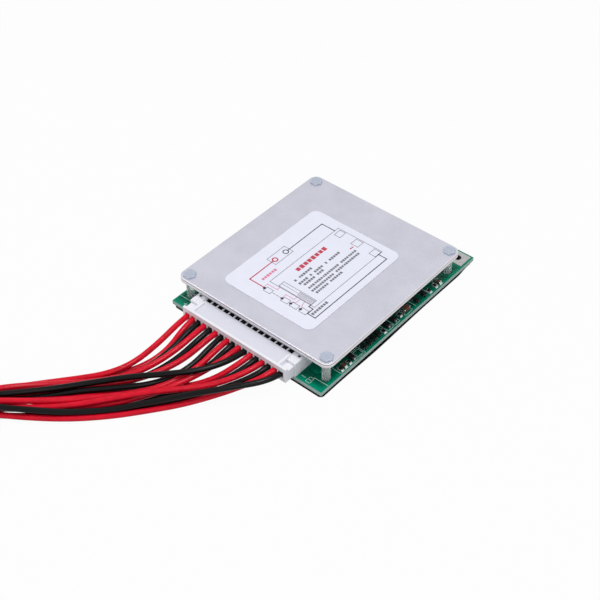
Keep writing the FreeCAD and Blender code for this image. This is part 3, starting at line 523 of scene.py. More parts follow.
# Routes of the sense leads in millimetres, as chosen for the construction, with Y counted from the
# board's connector edge
LEAD_ROUTES = {
    1: [(-20.8, -18.3, 4.1), (-21.1, -29.4, 3.3), (-24.5, -37.8, 2.9),
        (-30.5, -45.2, 2.6), (-36.5, -53.1, 3), (-41.6, -61.4, 4.2)],
    2: [(-17.7, -17.4, 2), (-19.6, -27.7, 1), (-24.7, -36.3, 1),
        (-31.1, -44.1, 1), (-37.5, -52.1, 1.3), (-42.8, -60.3, 2.5)],
    3: [(-16, -17.5, 3.2), (-17.6, -28, 1.6), (-22.7, -37.2, 1),
        (-29.1, -45.5, 1), (-35.8, -53.6, 1), (-41.4, -61.5, 1)],
    4: [(-14.2, -18.3, 4.1), (-16.9, -30.1, 3), (-22.7, -39.2, 2.6),
        (-29.2, -46.9, 3), (-35.4, -54.6, 4.3), (-40.6, -62.3, 6.1)],
    5: [(-12.3, -19.1, 2.4), (-15.9, -30.8, 1), (-22.2, -40.2, 1),
        (-28.9, -48.4, 1), (-35.1, -56.1, 1.5), (-40.6, -63.1, 2.6)],
    6: [(-10.1, -19.1, 3.2), (-14.4, -31, 2.6), (-21, -40.4, 2.7),
        (-28, -48.5, 2.9), (-34.4, -56.2, 3.4), (-39.7, -63.7, 4.5)],
    7: [(-6, -19.4, 2.9), (-9.7, -30.7, 2.9), (-16.9, -39.5, 3.3),
        (-24.5, -47.6, 3.4), (-31.6, -56.1, 2.9), (-38, -64.1, 2.9)],
    8: [(-3.9, -19.4, 3.4), (-7.7, -31.4, 2.8), (-14.6, -41.2, 2.9),
        (-22, -50.2, 3.5), (-29, -58.7, 4.7), (-35.8, -66.1, 6.2)],
    9: [(-2.3, -15.1, 2.4), (-6.8, -24.3, 1), (-14.3, -33.8, 1),
        (-22.5, -43.9, 1), (-30.5, -53.8, 1), (-38.1, -62.7, 1)],
    10: [(-0.9, -17.1, 3.9), (-4.6, -29.3, 3.4), (-11, -40.5, 2.5),
         (-19.1, -50.1, 1.6), (-27.5, -58.5, 1.6), (-35.5, -65.9, 2.6)],
    11: [(0.1, -18.1, 5.9), (-7.8, -27.9, 6.4), (-16.4, -35.6, 5.5),
         (-23.8, -44.1, 4.7), (-30.8, -53.8, 5), (-37.5, -63.2, 6.2)],
    12: [(2.1, -18.5, 1.9), (-6.1, -27.9, 1), (-13.6, -35.9, 1),
         (-20.3, -44.6, 1.5), (-27.5, -54.5, 2.8), (-35.6, -63.8, 4.3)],
    13: [(5.4, -17.1, 2.6), (-1.6, -27.3, 1.1), (-10.4, -37.2, 1),
         (-19.4, -47.3, 1), (-28.3, -56.6, 1), (-36.5, -64.6, 1)],
    14: [(5.9, -19.6, 4.2), (-2.1, -29.9, 4.9), (-9.4, -38, 4.9),
         (-16.4, -46.7, 3.9), (-24.3, -56.3, 3.4), (-33.3, -65.4, 4.2)],
    15: [(9.4, -15.8, 3.2), (2, -26.7, 1.6), (-6.8, -38.2, 1),
         (-15.9, -49.4, 1), (-25.2, -59, 1), (-34, -66.8, 1)],
    16: [(10.3, -18.1, 3.3), (2.7, -29.5, 1.6), (-4.9, -39.1, 1),
         (-12.3, -48.5, 1), (-21.3, -58, 1.4), (-31.4, -66.8, 2.5)],
    17: [(11.2, -18.9, 6.1), (2.4, -29.4, 5.3), (-5.4, -38, 3.5),
         (-12.9, -47.4, 2.5), (-21.9, -57.4, 3.5), (-31.7, -66.4, 5.6)],
}
# First run of a lead, from its crimp straight out of the plug
LEAD_STRAIGHT = 5.9
CONNECTOR_EDGE = Vector((0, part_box("circuit_board")[0].y / MM, 0))

# Bundle: its mouth and direction, the straight run into it, leads a step apart, and the layers
BUNDLE_MOUTH = CONNECTOR_EDGE + Vector((-48.2, -76.2, 0))
BUNDLE_ANGLE = math.atan2(-0.75, -0.66)
BUNDLE_RUN_IN = 7.0
BUNDLE_STEP = 2.05
BUNDLE_LAYERS = (1.75, 3.53, 5.3, 7.08)
# Place of each lead in the bundle: steps to the left of its middle, and the layer
BUNDLE_PLACES = {
    1: (-1.5, 2), 2: (-2, 1), 3: (-1.5, 0), 4: (-1, 3), 5: (-1, 1), 6: (-0.5, 2), 7: (0, 1),
    8: (1, 3), 9: (-0.5, 0), 10: (1, 1), 11: (0, 3), 12: (0.5, 2), 13: (0.5, 0),
    14: (1.5, 2), 15: (1.5, 0), 16: (2, 1), 17: (2, 3),
}

# Coil: from the bundle's mouth to its first turn, the radius of that turn, how far each turn lies
# inside the one before, and the number of turns after which the radius stays
COIL_STUB = 26.0
COIL_RADIUS = 28.0
COIL_BAND = 10.6
COIL_SPIRAL = 1.3
ALONG = Vector((math.cos(BUNDLE_ANGLE), math.sin(BUNDLE_ANGLE), 0))
LEFT = Vector((-ALONG.y, ALONG.x, 0))
COIL_MIDDLE = BUNDLE_MOUTH + ALONG * COIL_STUB + LEFT * COIL_RADIUS


def is_red(number):
    """Whether a lead is a red one, by its number from the connector's left end."""
    return number == 1 or number % 2 == 0


def lead_start(number):
    """Where a lead's insulation begins behind its crimp, in millimetres."""
    low, high = solids_of("crimp_terminals")[number - 1]
    return Vector(((low.x + high.x) / 2, low.y, (low.z + high.z) / 2)) / MM


def lead_route(number, sizes):
    """Points of a lead from its crimp to its end: its open run, then its place in the coil."""
    start = lead_start(number)
    steps, layer = BUNDLE_PLACES[number]
    height = Vector((0, 0, BUNDLE_LAYERS[layer]))
    mouth = BUNDLE_MOUTH + LEFT * (steps * BUNDLE_STEP) + height
    points = [start, start - Vector((0, LEAD_STRAIGHT, 0))]
    points += [CONNECTOR_EDGE + Vector(point) for point in LEAD_ROUTES[number]]
    points += [mouth - ALONG * BUNDLE_RUN_IN, mouth, mouth + ALONG * COIL_STUB / 2]
    used = sum((after - before).length for before, after in zip(points, points[1:]))
    left_over = sizes.lead_length / MM - used - COIL_STUB / 2
    turn = 2 * math.pi / sizes.coil_points
    radius = COIL_RADIUS - steps * BUNDLE_STEP

    def coil_reach(angle):
        return radius - COIL_BAND * min(angle / (2 * math.pi), COIL_SPIRAL)

    def coil_point(angle, reach):
        return (COIL_MIDDLE + height - LEFT * reach * math.cos(angle)
                + ALONG * reach * math.sin(angle))
    angle = 0.0
    while left_over > 0:
        reach = coil_reach(angle)
        points.append(coil_point(angle, reach))
        steps_left = left_over / (reach * turn)
        if steps_left > 1:
            # The last two steps are equal, where the last one alone would be a very short one
            share = steps_left / 2 if steps_left < 1.5 else 1.0
            left_over -= reach * turn * share
        else:
            share = steps_left
            left_over = 0
        angle += turn * share
    # The curve runs a little inside its points, and its end lies on the same radius
    points.append(coil_point(angle, coil_reach(angle) * math.cos(turn / 2)))
    return [point * MM for point in points]


def insulation(name, colour):
    """Glossy soft plastic round a lead."""
    finish = Finish(name)
    ripple = finish.noise(1.6, 4.0)
    fine = finish.noise(0.12, 2.0)
    return finish.surface({
        "Base Color": finish.speckled(colour, 0.1, 2.5),
        "Roughness": finish.clouded(ripple, 0.14, 0.2),
        "Normal": finish.bump(ripple + fine * 0.1, 0.03, 0.5),
        "Specular IOR Level": 0.15})


def tinned_copper(name, colour):
    """Tinned strands, brighter on some than on others."""
    finish = Finish(name)
    cloud = finish.noise(0.5, 5.0)
    return finish.surface({
        "Base Color": finish.speckled(colour, 0.12, 0.6),
        "Metallic": 1.0,
        "Roughness": finish.clouded(cloud, 0.22, 0.42),
        "Normal": finish.bump(cloud, 0.02, 0.6)})


def lead_tip(name, end, ahead, sizes, material):
    """Twisted and tinned strands beyond the insulation."""
    shape = bmesh.new()
    side = Vector((0, 0, 1)).cross(ahead).normalized()
    up = ahead.cross(side)
    strands = 7
    twist = 1.5
    corners = 28
    lengths = 12
    rings = []
    for step in range(lengths + 1):
        share = step / lengths
        ring = []
        for corner in range(corners):
            angle = 2 * math.pi * corner / corners
            wave = 1 + 0.1 * math.cos(strands * (angle - twist * share))
            radius = sizes.tip_diameter / 2 * wave * (0.75 if step == lengths else 1.0)
            out = side * math.cos(angle) + up * math.sin(angle)
            reach = sizes.tip_length * (share - 0.1)
            ring.append(shape.verts.new(end + ahead * reach + out * radius))
        rings.append(ring)
    joined(shape, rings)
    shape.faces.new(rings[-1])
    return piece(name, shape, [material], "tinned_pin", even=False)


def lay_lead(number, sizes, slot, material, tin):
    """One sense lead along its route, with its stripped tip."""
    points = lead_route(number, sizes)
    curve = bpy.data.curves.new(f"wire_{number:02d}", "CURVE")
    curve.dimensions = "3D"
    curve.bevel_depth = sizes.lead_diameter / 2
    curve.bevel_resolution = 5
    curve.resolution_u = 8
    curve.use_fill_caps = True
    curve.materials.append(material)
    spline = curve.splines.new("NURBS")
    spline.points.add(len(points) - 1)
    for target, point in zip(spline.points, points):
        target.co = (*point, 1)
    spline.order_u = 3
    spline.use_endpoint_u = True
    wire = link(bpy.data.objects.new(f"wire_{number:02d}", curve))
    replaced = [f"lead_{number:02d}"] + (["harness_coil"] if number == 1 else [])
    settle(wire, slot, *replaced)
    ahead = (points[-1] - points[-2]).normalized()
    tip = lead_tip(f"tip_{number:02d}", points[-1], ahead, sizes, tin)


class BOARD_OT_leads(Operator):
    """Lay the seventeen sense leads and coil their stored length"""
    bl_idname = "board.leads"
    bl_label = "Sense leads"

    def execute(self, context):
        sizes = context.scene.harness_sizes
        red = insulation("red_insulation", sizes.red)
        black = insulation("black_insulation", sizes.black)
        tin = tinned_copper("tinned_strands", context.scene.board_colours.tin)
        for number in LEAD_ROUTES:
            slot, material = ("red_lead", red) if is_red(number) else ("black_lead", black)
            lay_lead(number, sizes, slot, material, tin)
        return {"FINISHED"}


def coil_strap(nylon):
    """Nylon strap round the section of the coil, with its head and its tail."""
    low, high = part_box("coil_tie")
    section = 20.6 * MM
    inward = 2.65 * MM
    width = 2.6 * MM
    thick = 0.7 * MM
    corner = 2.4 * MM
    centre = (low + high) / 2 - LEFT * inward
    half_height = (high.z - low.z) / 2
    outer = rounded_rectangle((-section / 2, -half_height), (section / 2, half_height), corner, 6)
    inner = rounded_rectangle((thick - section / 2, thick - half_height),
                              (section / 2 - thick, half_height - thick), corner - thick, 6)
    shape = bmesh.new()

    def ring_of(points, reach):
        return [shape.verts.new(centre + LEFT * across + Vector((0, 0, up)) + ALONG * reach)
                for across, up in points]
    rings = [ring_of(points, reach) for points, reach in (
        (outer, -width / 2), (outer, width / 2), (inner, width / 2), (inner, -width / 2))]
    joined(shape, rings + rings[:1])
    edges = [edge for edge in shape.edges if edge.calc_face_angle(0) > math.radians(60)]
    bmesh.ops.bevel(shape, geom=edges, offset=0.15 * MM, segments=2, affect="EDGES")
    first = len(shape.verts)
    head = ((-2.1, -2, -0.3), (2.1, 2, 2.4), 0.4)
    tail = ((-1.3, 1.6, 0.9), (1.3, 9, 1.6), 0.2)
    for start, end, edge in (head, tail):
        block(shape, Vector(start) * MM, Vector(end) * MM, edge * MM)
    turned = Matrix.Translation(centre + Vector((0, 0, half_height))) @ Matrix(
        (ALONG, LEFT, Vector((0, 0, 1)))).transposed().to_4x4()
    shape.verts.ensure_lookup_table()
    bmesh.ops.transform(shape, matrix=turned, verts=shape.verts[first:])
    piece("coil_strap", shape, [nylon], "tie", "coil_tie")


class BOARD_OT_strap(Operator):
    """Strap the coil of stored lead"""
    bl_idname = "board.strap"
    bl_label = "Strap"

    def execute(self, context):
        coil_strap(plastic("strap_nylon", shade(225, 226, 228), 0.35, 0.5, 0.02))
        return {"FINISHED"}


def printed(shape, outline, level, finish):
    """Thin flat print from an outline in millimetres, at a level in metres."""
    extruded(shape, [Vector((x * MM, y * MM, level)) for x, y in outline],
             (0, 0, PRINT_HEIGHT), finish)


def stroke(shape, points, width, level, finish=0):
    """Printed line through some points."""
    for start, end in zip(points, points[1:]):
        start = Vector(start)
        end = Vector(end)
        ahead = (end - start).normalized() * (width / 2)
        aside = Vector((-ahead.y, ahead.x))
        printed(shape, [start - ahead - aside, end + ahead - aside,
                        end + ahead + aside, start - ahead + aside], level, finish)


def corners_of(low, high):
    """Anticlockwise corners of a rectangle."""
    return [low, (high[0], low[1]), high, (low[0], high[1])]


def outline_box(shape, low, high, width, level, finish=0):
    """Printed rectangle of four strokes."""
    stroke(shape, [*corners_of(low, high), low], width, level, finish)


def dot(shape, centre, radius, level, finish, hole=0.0):
    """Printed round spot, or a ring if it has a hole."""
    outer = round_spot(centre, radius)
    if not hole:
        printed(shape, outer, level, finish)
        return
    inner = round_spot(centre, hole)
    for number, point in enumerate(outer):
        following = (number + 1) % len(outer)
        printed(shape, [point, outer[following], inner[following], inner[number]], level, finish)


def script_line(shape, east, start, end, size, level, finish, pattern):
    """Row of small blocks in place of writing, with gaps where the pattern has a space."""
    north = start
    number = 0
    while north - size > end:
        mark = pattern[number % len(pattern)]
        if mark != " ":
            wide = size * (0.62 if mark == "i" else 0.78)
            tall = size * (0.8 if number % 3 else 0.92)
            printed(shape, corners_of((east - tall / 2, north - wide), (east + tall / 2, north)),
                    level, finish)
        north -= size
        number += 1


def plastic(name, colour, roughness, grain, depth, spread=0.05):
    """Moulded plastic with a slightly uneven surface."""
    finish = Finish(name)
    cloud = finish.noise(grain, 4.0)
    return finish.surface({
        "Base Color": finish.speckled(colour, spread, grain * 4),
        "Roughness": finish.clouded(cloud, roughness - 0.06, roughness + 0.06),
        "Normal": finish.bump(cloud, depth, 0.5)})


def moulded_nylon(name, colour, painted_pit_shade, thin=None):
    """White nylon with painted shade: dark down in its openings, and darker and bluer where it is thin
    over the cavities.
    """
    finish = Finish(name)
    cloud = finish.noise(0.9, 4.0)
    pale = finish.speckled(colour, 0.02, 3.6)
    if thin:
        # Painted shade: the thin roof over the cavities is made darker and bluer, for the dark cavities
        # behind it
        roof = tuple(level * share for level, share in zip(colour, (0.85, 0.86, 0.89)))
        pale = finish.mix(thin(finish), pale, roof)
    return finish.surface({
        # Painted shade: down in the openings the nylon is painted dark grey
        "Base Color": finish.mix(painted_pit_shade(finish), pale, shade(74, 73, 74)),
        "Roughness": finish.clouded(cloud, 0.32, 0.44),
        "Normal": finish.bump(cloud, 0.02, 0.5),
        "Subsurface Weight": 0.12,
        "Subsurface Radius": (0.002, 0.002, 0.002),
        "Subsurface Scale": 0.5})


def satin_aluminium(colour, low, high):
    """Rolled sheet: fine grain on its faces, and a sheared edge with a bright painted highlight along
    its bevelled top.
    """
    finish = Finish("satin_aluminium")
    grain = finish.noise(1.0, 5.0, finish.stretched(0.06, 1.6, 0.1), 0.6)
    fine = finish.noise(0.25, 3.0)
    cloud = finish.noise(9.0, 3.0)
    facing = finish.node("ShaderNodeSeparateXYZ", None,
                         {0: finish.node("ShaderNodeNewGeometry", output="Normal")}, "Z")
    side = 1 - finish.between(abs(facing), 0.25, 0.6)
    # Painted highlight: the bevel, which faces partly up, is painted bright
    rim = finish.between(facing, 0.3, 0.5) * (1 - finish.between(facing, 0.75, 0.92))
    thick = (high - low) / MM
    share = (finish.axis("Z") - low / MM) / thick
    tearing = finish.noise(1.0, 4.0, finish.stretched(0.22, 0.22, 3.0), 0.7)
    break_zone = 1 - finish.between(share + (tearing - 0.5) * 0.2, 0.3, 0.42)
    rolled = finish.mix(finish.between(grain * 0.6 + cloud * 0.4, 0.35, 0.65),
                        scaled(colour, 0.93), scaled(colour, 1.05))
    # A dark band painted a little below the top of the side; the mesh has no groove there
    groove = finish.between(share, 0.6, 0.66) - finish.between(share, 0.74, 0.8)
    # Bright metal of the cut side, also used for the painted highlight on the bevel
    bright = shade(222, 219, 223)
    edge = finish.mix(break_zone * (0.4 + 0.6 * tearing) * 0.3 + groove * 0.75,
                      bright, scaled(colour, 0.08))
    matte = finish.between(grain * 0.5 + fine * 0.5, 0.35, 0.65, 0.42, 0.54)
    return finish.surface({
        "Base Color": finish.mix(rim, finish.mix(side, rolled, edge), bright),
        "Metallic": 1.0,
        "Roughness": matte + side * break_zone * 0.15,
        "Normal": finish.bump(grain * 0.5 + fine * 0.5 + side * tearing, 0.02, 0.5)})


def label_paper(colour):
    """Pale film with a faint grain."""
    finish = Finish("label_paper")
    fibre = finish.noise(0.35, 5.0, roughness=0.65)
    return finish.surface({
        "Base Color": finish.speckled(colour, 0.012, 4.0),
        "Roughness": finish.clouded(fibre, 0.36, 0.48),
        "Normal": finish.bump(fibre + finish.noise(6.0) * 2, 0.012, 0.5)})


def ink(name, colour):
    """Print that is a little paler in places."""
    finish = Finish(name)
    worn = finish.between(finish.noise(0.3, 4.0), 0.3, 0.75)
    pale = tuple(level + (0.5 - level) * 0.18 for level in colour)
    return finish.surface({"Base Color": finish.mix(worn, colour, pale), "Roughness": 0.5})


def solder_mask(colour):
    """Green lacquer over copper: paler over the copper, darker in the gaps between its areas, and
    darker still where shade is painted under the plate.
    """
    finish = Finish("solder_mask")

    def patches(feature, output):
        return finish.node("ShaderNodeTexVoronoi", {"feature": feature, "distance": "CHEBYCHEV"},
                           {"Vector": finish.place, "Scale": 0.14, "Randomness": 0.8}, output)
    tone = finish.node("ShaderNodeSeparateColor", None, {0: patches("F1", "Color")}, 0)
    copper = finish.between(patches("DISTANCE_TO_EDGE", "Distance"), 0.012, 0.03)
    fine = finish.noise(0.9, 4.0)
    weave = finish.node("ShaderNodeTexWave", {"wave_type": "BANDS", "bands_direction": "X"},
                        {"Vector": finish.place, "Scale": 0.8, "Distortion": 0.6}, "Fac")
    cover = copper * (0.55 + 0.45 * (tone > 0.35))
    # More copper near the board's long edges and beyond both ends of the plate, and painted shade: the
    # mask is painted much darker under the plate, where the plate shades it
    less_shaded_long_edges = finish.between(abs(finish.axis("X")), 30.9, 31.9, 0.0, 0.75)
    less_shaded_ends = finish.between(abs(finish.axis("Y") + 3), 36.0, 38.6)
    rim = less_shaded_long_edges + less_shaded_ends - less_shaded_long_edges * less_shaded_ends
    copper_and_painted_shade = rim * (0.72 + 0.28 * cover) + (1 - rim) * cover * 0.42
    return finish.surface({
        "Base Color": finish.mix(copper_and_painted_shade * (0.85 + 0.15 * weave) * (0.9 + 0.2 * fine),
                                 scaled(colour, 0.2), scaled(colour, 1.1)),
        "Roughness": finish.clouded(fine, 0.24, 0.34),
        "Normal": finish.bump(cover + fine * 0.3, 0.03, 0.7),
        "Specular IOR Level": 0.08, "Coat Weight": 0.02, "Coat Roughness": 0.12})


def sawn_laminate(colour):
    """Cut edge of the board: thin layers of glass cloth in resin."""
    finish = Finish("sawn_laminate")
    layers = finish.node("ShaderNodeTexWave", {"wave_type": "BANDS", "bands_direction": "Z"}, {
        "Vector": finish.place, "Scale": 1.6, "Distortion": 1.2, "Detail": 3.0}, "Fac")
    ragged = finish.noise(0.5, 5.0, roughness=0.7)
    return finish.surface({
        "Base Color": finish.mix(layers * 0.6 + ragged * 0.4,
                                 scaled(colour, 0.62), scaled(colour, 1.2)),
        "Roughness": finish.clouded(ragged, 0.45, 0.7),
        "Normal": finish.bump(layers * 0.5 + ragged, 0.05, 0.7)})


def glossy_film(colour):
    """Black film with shallow ripples and a little dust."""
    finish = Finish("glossy_film")
    ripple = finish.noise(5.0, 3.0)
    dust = finish.between(finish.noise(0.7, 5.0, roughness=0.7), 0.56, 0.8)
    return finish.surface({
        "Base Color": finish.mix(dust, colour, shade(34, 34, 38)),
        "Roughness": finish.between(ripple + dust * 0.4, 0.3, 1.0, 0.14, 0.34),
        "Normal": finish.bump(ripple, 0.12, 0.5), "Specular IOR Level": 0.12})


def solder(name, colour, roughness):
    """Tin that has flowed: bright, with soft lumps."""
    finish = Finish(name)
    lumps = finish.noise(1.1, 2.0)
    grain = finish.noise(0.12, 4.0)
    return finish.surface({
        "Base Color": finish.speckled(colour, 0.12, 0.8), "Metallic": 1.0,
        "Roughness": finish.clouded(grain, roughness - 0.08, roughness + 0.1),
        "Normal": finish.bump(lumps + grain * 0.1, 0.12, 0.6)})


def soft_silicone(colour):
    """Filled silicone, speckled by its filler."""
    finish = Finish("soft_silicone")
    filler = finish.noise(0.2, 5.0, roughness=0.75)
    return finish.surface({
        "Base Color": finish.mix(filler, scaled(colour, 0.82), colour),
        "Roughness": finish.clouded(filler, 0.6, 0.8),
        "Normal": finish.bump(filler, 0.05, 0.7)})


class BOARD_OT_plate(Operator):
    """Cut the aluminium plate with its broken edges and its screw holes"""
    bl_idname = "board.plate"
    bl_label = "Aluminium plate"

    def execute(self, context):
        low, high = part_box("heatsink_plate")
        outline = rounded_rectangle(low, high, PLATE_CORNER)
        holes = [round_hole(centre, SCREW_HOLE_RADIUS) for centre in centres_of("corner_screws")]
        shape = cut_sheet(outline, holes, low.z, high.z, edge=0.22 * MM)
        metal = satin_aluminium(context.scene.board_colours.plate, low.z, high.z)
        piece("aluminium_plate", shape, [metal], "plate", "heatsink_plate")
        return {"FINISHED"}


# Print on the label, in millimetres from the middle of the board: closed boxes
LABEL_BOXES = [
    ((-6.75, -21.3), (12.5, 14.7)), ((-5.6, 11.1), (-3.1, 14.2)), ((1.7, 11.1), (4.7, 14.2)),
    ((9.6, 11.1), (12.3, 14.2)), ((-14.8, -13.7), (-10.75, -4.75)), ((-3.1, -21.0), (10.9, -18.4)),
    ((-5.6, -25.9), (-2.9, -23.9)), ((1.9, -25.9), (4.6, -23.9)), ((5.5, -25.9), (8.5, -23.9)),
    ((9.6, -25.9), (12.4, -23.9)),
]
# Lines by their width and ink: the wires and the taps
LABEL_WIRES = [
    (0.38, DARK, [[(-6.75, 12.75), (-12.5, 12.75), (-12.5, -5.5)],
                  [(12.5, 12.75), (15.9, 12.75), (15.8, -24.96), (12.5, -24.96)],
                  [(10.8, -21.3), (10.8, -22.2), (12.6, -22.2), (12.6, -24.7)]]),
    (0.42, RED, [[(-12.6, -13.0), (-12.6, -24.75), (-5.8, -24.75)]]),
    (0.2, PINK, [[(-2.3, -21.3), (-2.3, -22.75), (-6.5, -22.75), (-6.5, -24.3)],
                 [(1.5, -24.3), (1.5, -22.7), (5, -22.7), (5, -21.3)],
                 [(5.5, -24.3), (6.5, -23.1), (6.5, -21.3)],
                 [(8.3, -21.3), (8.75, -23.1), (9.5, -24.3)]]),
]
# The same for the dashes between the cells and the hatched bar
LABEL_BARS = [
    (0.2, GREY, [[(-2.5, -24.9), (-1.3, -24.9)], [(-0.9, -24.9), (0.1, -24.9)],
                 [(0.5, -24.9), (1.3, -24.9)]]),
    (0.14, DARK, [[(4.5 + step * 0.42, -19.2), (4.5 + step * 0.42, -20.6)] for step in range(16)]),
    (0.2, DARK, [[(4.2, -18.9), (10.6, -18.9)]]),
    (0.16, GREY, [[(-3.1, -19.6), (4.2, -19.6)]]),
]
LABEL_CELL_DOTS = [(-6.0, -24.9), (1.7, -24.9), (5.4, -24.9), (9.5, -24.9)]
# Rows of blocks in place of writing: across, from, to, block, ink, pattern
LABEL_ROWS = [
    (-0.6, -7.2, -16.4, 1.12, GREY, "oooooi oo"),
    (1.5, 5.0, -16.4, 1.12, GREY, "ooooo i oooo o o"),
    (3.0, -5.4, -16.4, 1.12, GREY, "ooo oooo"),
    (5.2, 9.4, -16.4, 1.05, GREY, "oooioooo oooooooi"),
    (6.9, 9.0, -16.4, 1.05, GREY, "oooooooioooo ooooo"),
    (8.5, -2.2, -16.4, 1.05, GREY, "oooooo oooo"),
    (-3.5, 3.8, -13.5, 1.95, RED, "oooooooooo"),
    (-9.2, -15.4, -23.5, 1.2, PINK, "oooooooo"),
    (14.0, -16.6, -25.0, 1.15, GREY, "ooooooo"),
    (3.3, 10.2, 8.2, 0.8, RED, "io"),
]


def strokes(shape, groups, level):
    """Printed lines of each group, in its width and ink."""
    for width, colour, lines in groups:
        for points in lines:
            stroke(shape, points, width, level, colour)


def label_print(colours, level):
    """Plain wiring drawing and rows of blocks, printed on the label."""
    inks = [ink("dark_ink", colours.ink), ink("grey_ink", colours.pale_ink),
            ink("red_ink", colours.red_ink), ink("pink_ink", shade(222, 120, 150))]
    shape = bmesh.new()
    for low_corner, high_corner in LABEL_BOXES:
        outline_box(shape, low_corner, high_corner, 0.2, level, GREY)
    strokes(shape, LABEL_WIRES, level)
    for middle in LABEL_CELL_DOTS:
        dot(shape, middle, 0.55, level, DARK)
    dot(shape, (-12.5, -6.6), 1.15, level, DARK, 0.75)
    dot(shape, (-12.6, -12.0), 1.15, level, RED, 0.65)
    strokes(shape, LABEL_BARS, level)
    for east, start, end, size, colour, pattern in LABEL_ROWS:
        script_line(shape, east, start, end, size, level, colour, pattern)
    piece("label_print", shape, inks, "label", even=False)


class BOARD_OT_label(Operator):
    """Cut the label and print its wiring lines and its rows of blocks"""
    bl_idname = "board.label"
    bl_label = "Label"

    def execute(self, context):
        colours = context.scene.board_colours
        low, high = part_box("label_sticker")
        outline = rounded_rectangle(low, high, LABEL_CORNER)
        shape = cut_sheet(outline, [], low.z, high.z, edge=0.04 * MM)
        piece("label_paper", shape, [label_paper(colours.label)], "label", "label_sticker")
        label_print(colours, high.z + 0.002 * MM)
        return {"FINISHED"}


def round_profile(shape, centre, rings, steps, finish=0, bored=False):
    """Turned or six-sided body from rings of (level, radius at an angle), closed or bored."""
    loops = []
    for level, radius_at in rings:
        loop = []
        for step in range(steps):
            angle = 2 * math.pi * step / steps
            radius = radius_at(angle)
            loop.append(shape.verts.new((centre[0] + radius * math.cos(angle),
                                         centre[1] + radius * math.sin(angle), level)))
        loops.append(loop)
    if bored:
        loops.append(loops[0])
        faces = []
    else:
        faces = [shape.faces.new(list(reversed(loops[0]))), shape.faces.new(loops[-1])]
    for face in faces + joined(shape, loops):
        face.material_index = finish


def hexagon(circumradius, limit=None):
    """Radius of a six-sided outline at an angle, cut off at a limit."""
    half_side = math.radians(30)
    flat = circumradius * math.cos(half_side)

    def radius_at(angle):
        off = (angle + half_side) % (2 * half_side) - half_side
        radius = flat / math.cos(half_side - abs(off))
        return min(radius, limit) if limit else radius
    return radius_at


def circle_of(radius):
    """Radius of a round outline, at any angle."""
    return lambda angle: radius


def knurled(radius, depth, count):
    """Radius of a rim with shallow grooves, at an angle."""
    return lambda angle: radius - depth * (0.5 + 0.5 * math.cos(count * angle)) ** 3


def threaded(radius, depth, pitch, level):
    """Radius of a screw thread at an angle and a level."""
    def radius_at(angle):
        phase = (level / pitch - angle / (2 * math.pi)) % 1
        return radius - depth * (1 - abs(2 * phase - 1))
    return radius_at


def clear_nylon(name, colour, through, rough):
    """Nylon that lets some light through."""
    finish = Finish(name)
    cloud = finish.noise(1.2, 4.0)
    return finish.surface({
        "Base Color": finish.speckled(colour, 0.04, 1.5),
        "Roughness": finish.clouded(cloud, rough - 0.05, rough + 0.05),
        "Normal": finish.bump(cloud, 0.004, 0.5),
        "Transmission Weight": through, "IOR": 1.53, "Specular IOR Level": 0.5})


def turned_screw(shape, low, high, plate_top):
    """Low six-sided head with a shallow dish, and a threaded shank under it."""
    centre = centre_of(low, high)
    corner = (high.x - low.x) / 2
    flat = (high.y - low.y) / 2
    tall = high.z - plate_top
    sunk = 0.06 * MM
    head = [(plate_top + tall * share, outline) for share, outline in (
        (0, hexagon(corner, flat * 1.06)), (0.15, hexagon(corner)),
        (0.55, hexagon(corner)), (0.85, hexagon(corner, flat * 1.02)))]
    head += [(high.z - sunk * share, circle_of(flat * width)) for share, width in (
        (0, 0.92), (0, 0.6), (1, 0.54), (1, 0.42), (0.4, 0.36))]
    round_profile(shape, centre, head, 72)
    pitch = 0.5 * MM
    groove = 0.012 * MM
    length = plate_top - low.z
    count = 4 * round(length / pitch)
    shank = [(low.z, circle_of(SCREW_TIP_RADIUS))]
    for step in range(1, count + 1):
        level = low.z + length * step / count
        shank.append((level, threaded(SCREW_RADIUS, groove, pitch, level)))
    round_profile(shape, centre, shank, 32, finish=1)


def turned_nut(shape, low, high):
    """Thin bored nut with a knurled rim and broken edges."""
    rim = (high.x - low.x) / 2
    bore = NUT_BORE_RADIUS
    edge = 0.12 * MM
    grip = knurled(rim, edge, 20)
    rounded = knurled(rim - edge * 0.6, edge, 20)
    round_profile(shape, centre_of(low, high), [
        (low.z, circle_of(bore + edge)), (low.z, circle_of(rim - 2 * edge)),
        (low.z + edge, rounded), (low.z + 2 * edge, grip),
        (high.z - 2 * edge, grip), (high.z - edge, rounded),
        (high.z, circle_of(rim - 2 * edge)), (high.z, circle_of(bore + edge)),
        (high.z - edge, circle_of(bore)), (low.z + edge, circle_of(bore))], 80, bored=True)


class BOARD_OT_screws(Operator):
    """Turn the four nylon screws and their nuts"""
    bl_idname = "board.screws"
    bl_label = "Screws and nuts"

    def execute(self, context):
        colours = context.scene.board_colours
        heads = clear_nylon("nylon_heads", colours.nylon, 0.25, 0.34)
        shanks = clear_nylon("nylon_shanks", colours.clear_nylon, 0.72, 0.22)
        plate_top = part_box("heatsink_plate")[1].z
        shape = bmesh.new()
        for low, high in solids_of("corner_screws"):
            turned_screw(shape, low, high, plate_top)
        piece("nylon_screws", shape, [heads, shanks], "clear_nylon", "corner_screws", even=False)
        shape = bmesh.new()
        for low, high in solids_of("corner_nuts"):
            turned_nut(shape, low, high)
        piece("nylon_nuts", shape, [heads], "clear_nylon", "corner_nuts", even=False)
        return {"FINISHED"}


def pin_holes():
    """Middle of each board hole for a connector pin, as (x, y) in metres."""
    return [((low.x + high.x) / 2, high.y - PIN_HALF) for low, high in solids_of("header_pins")]


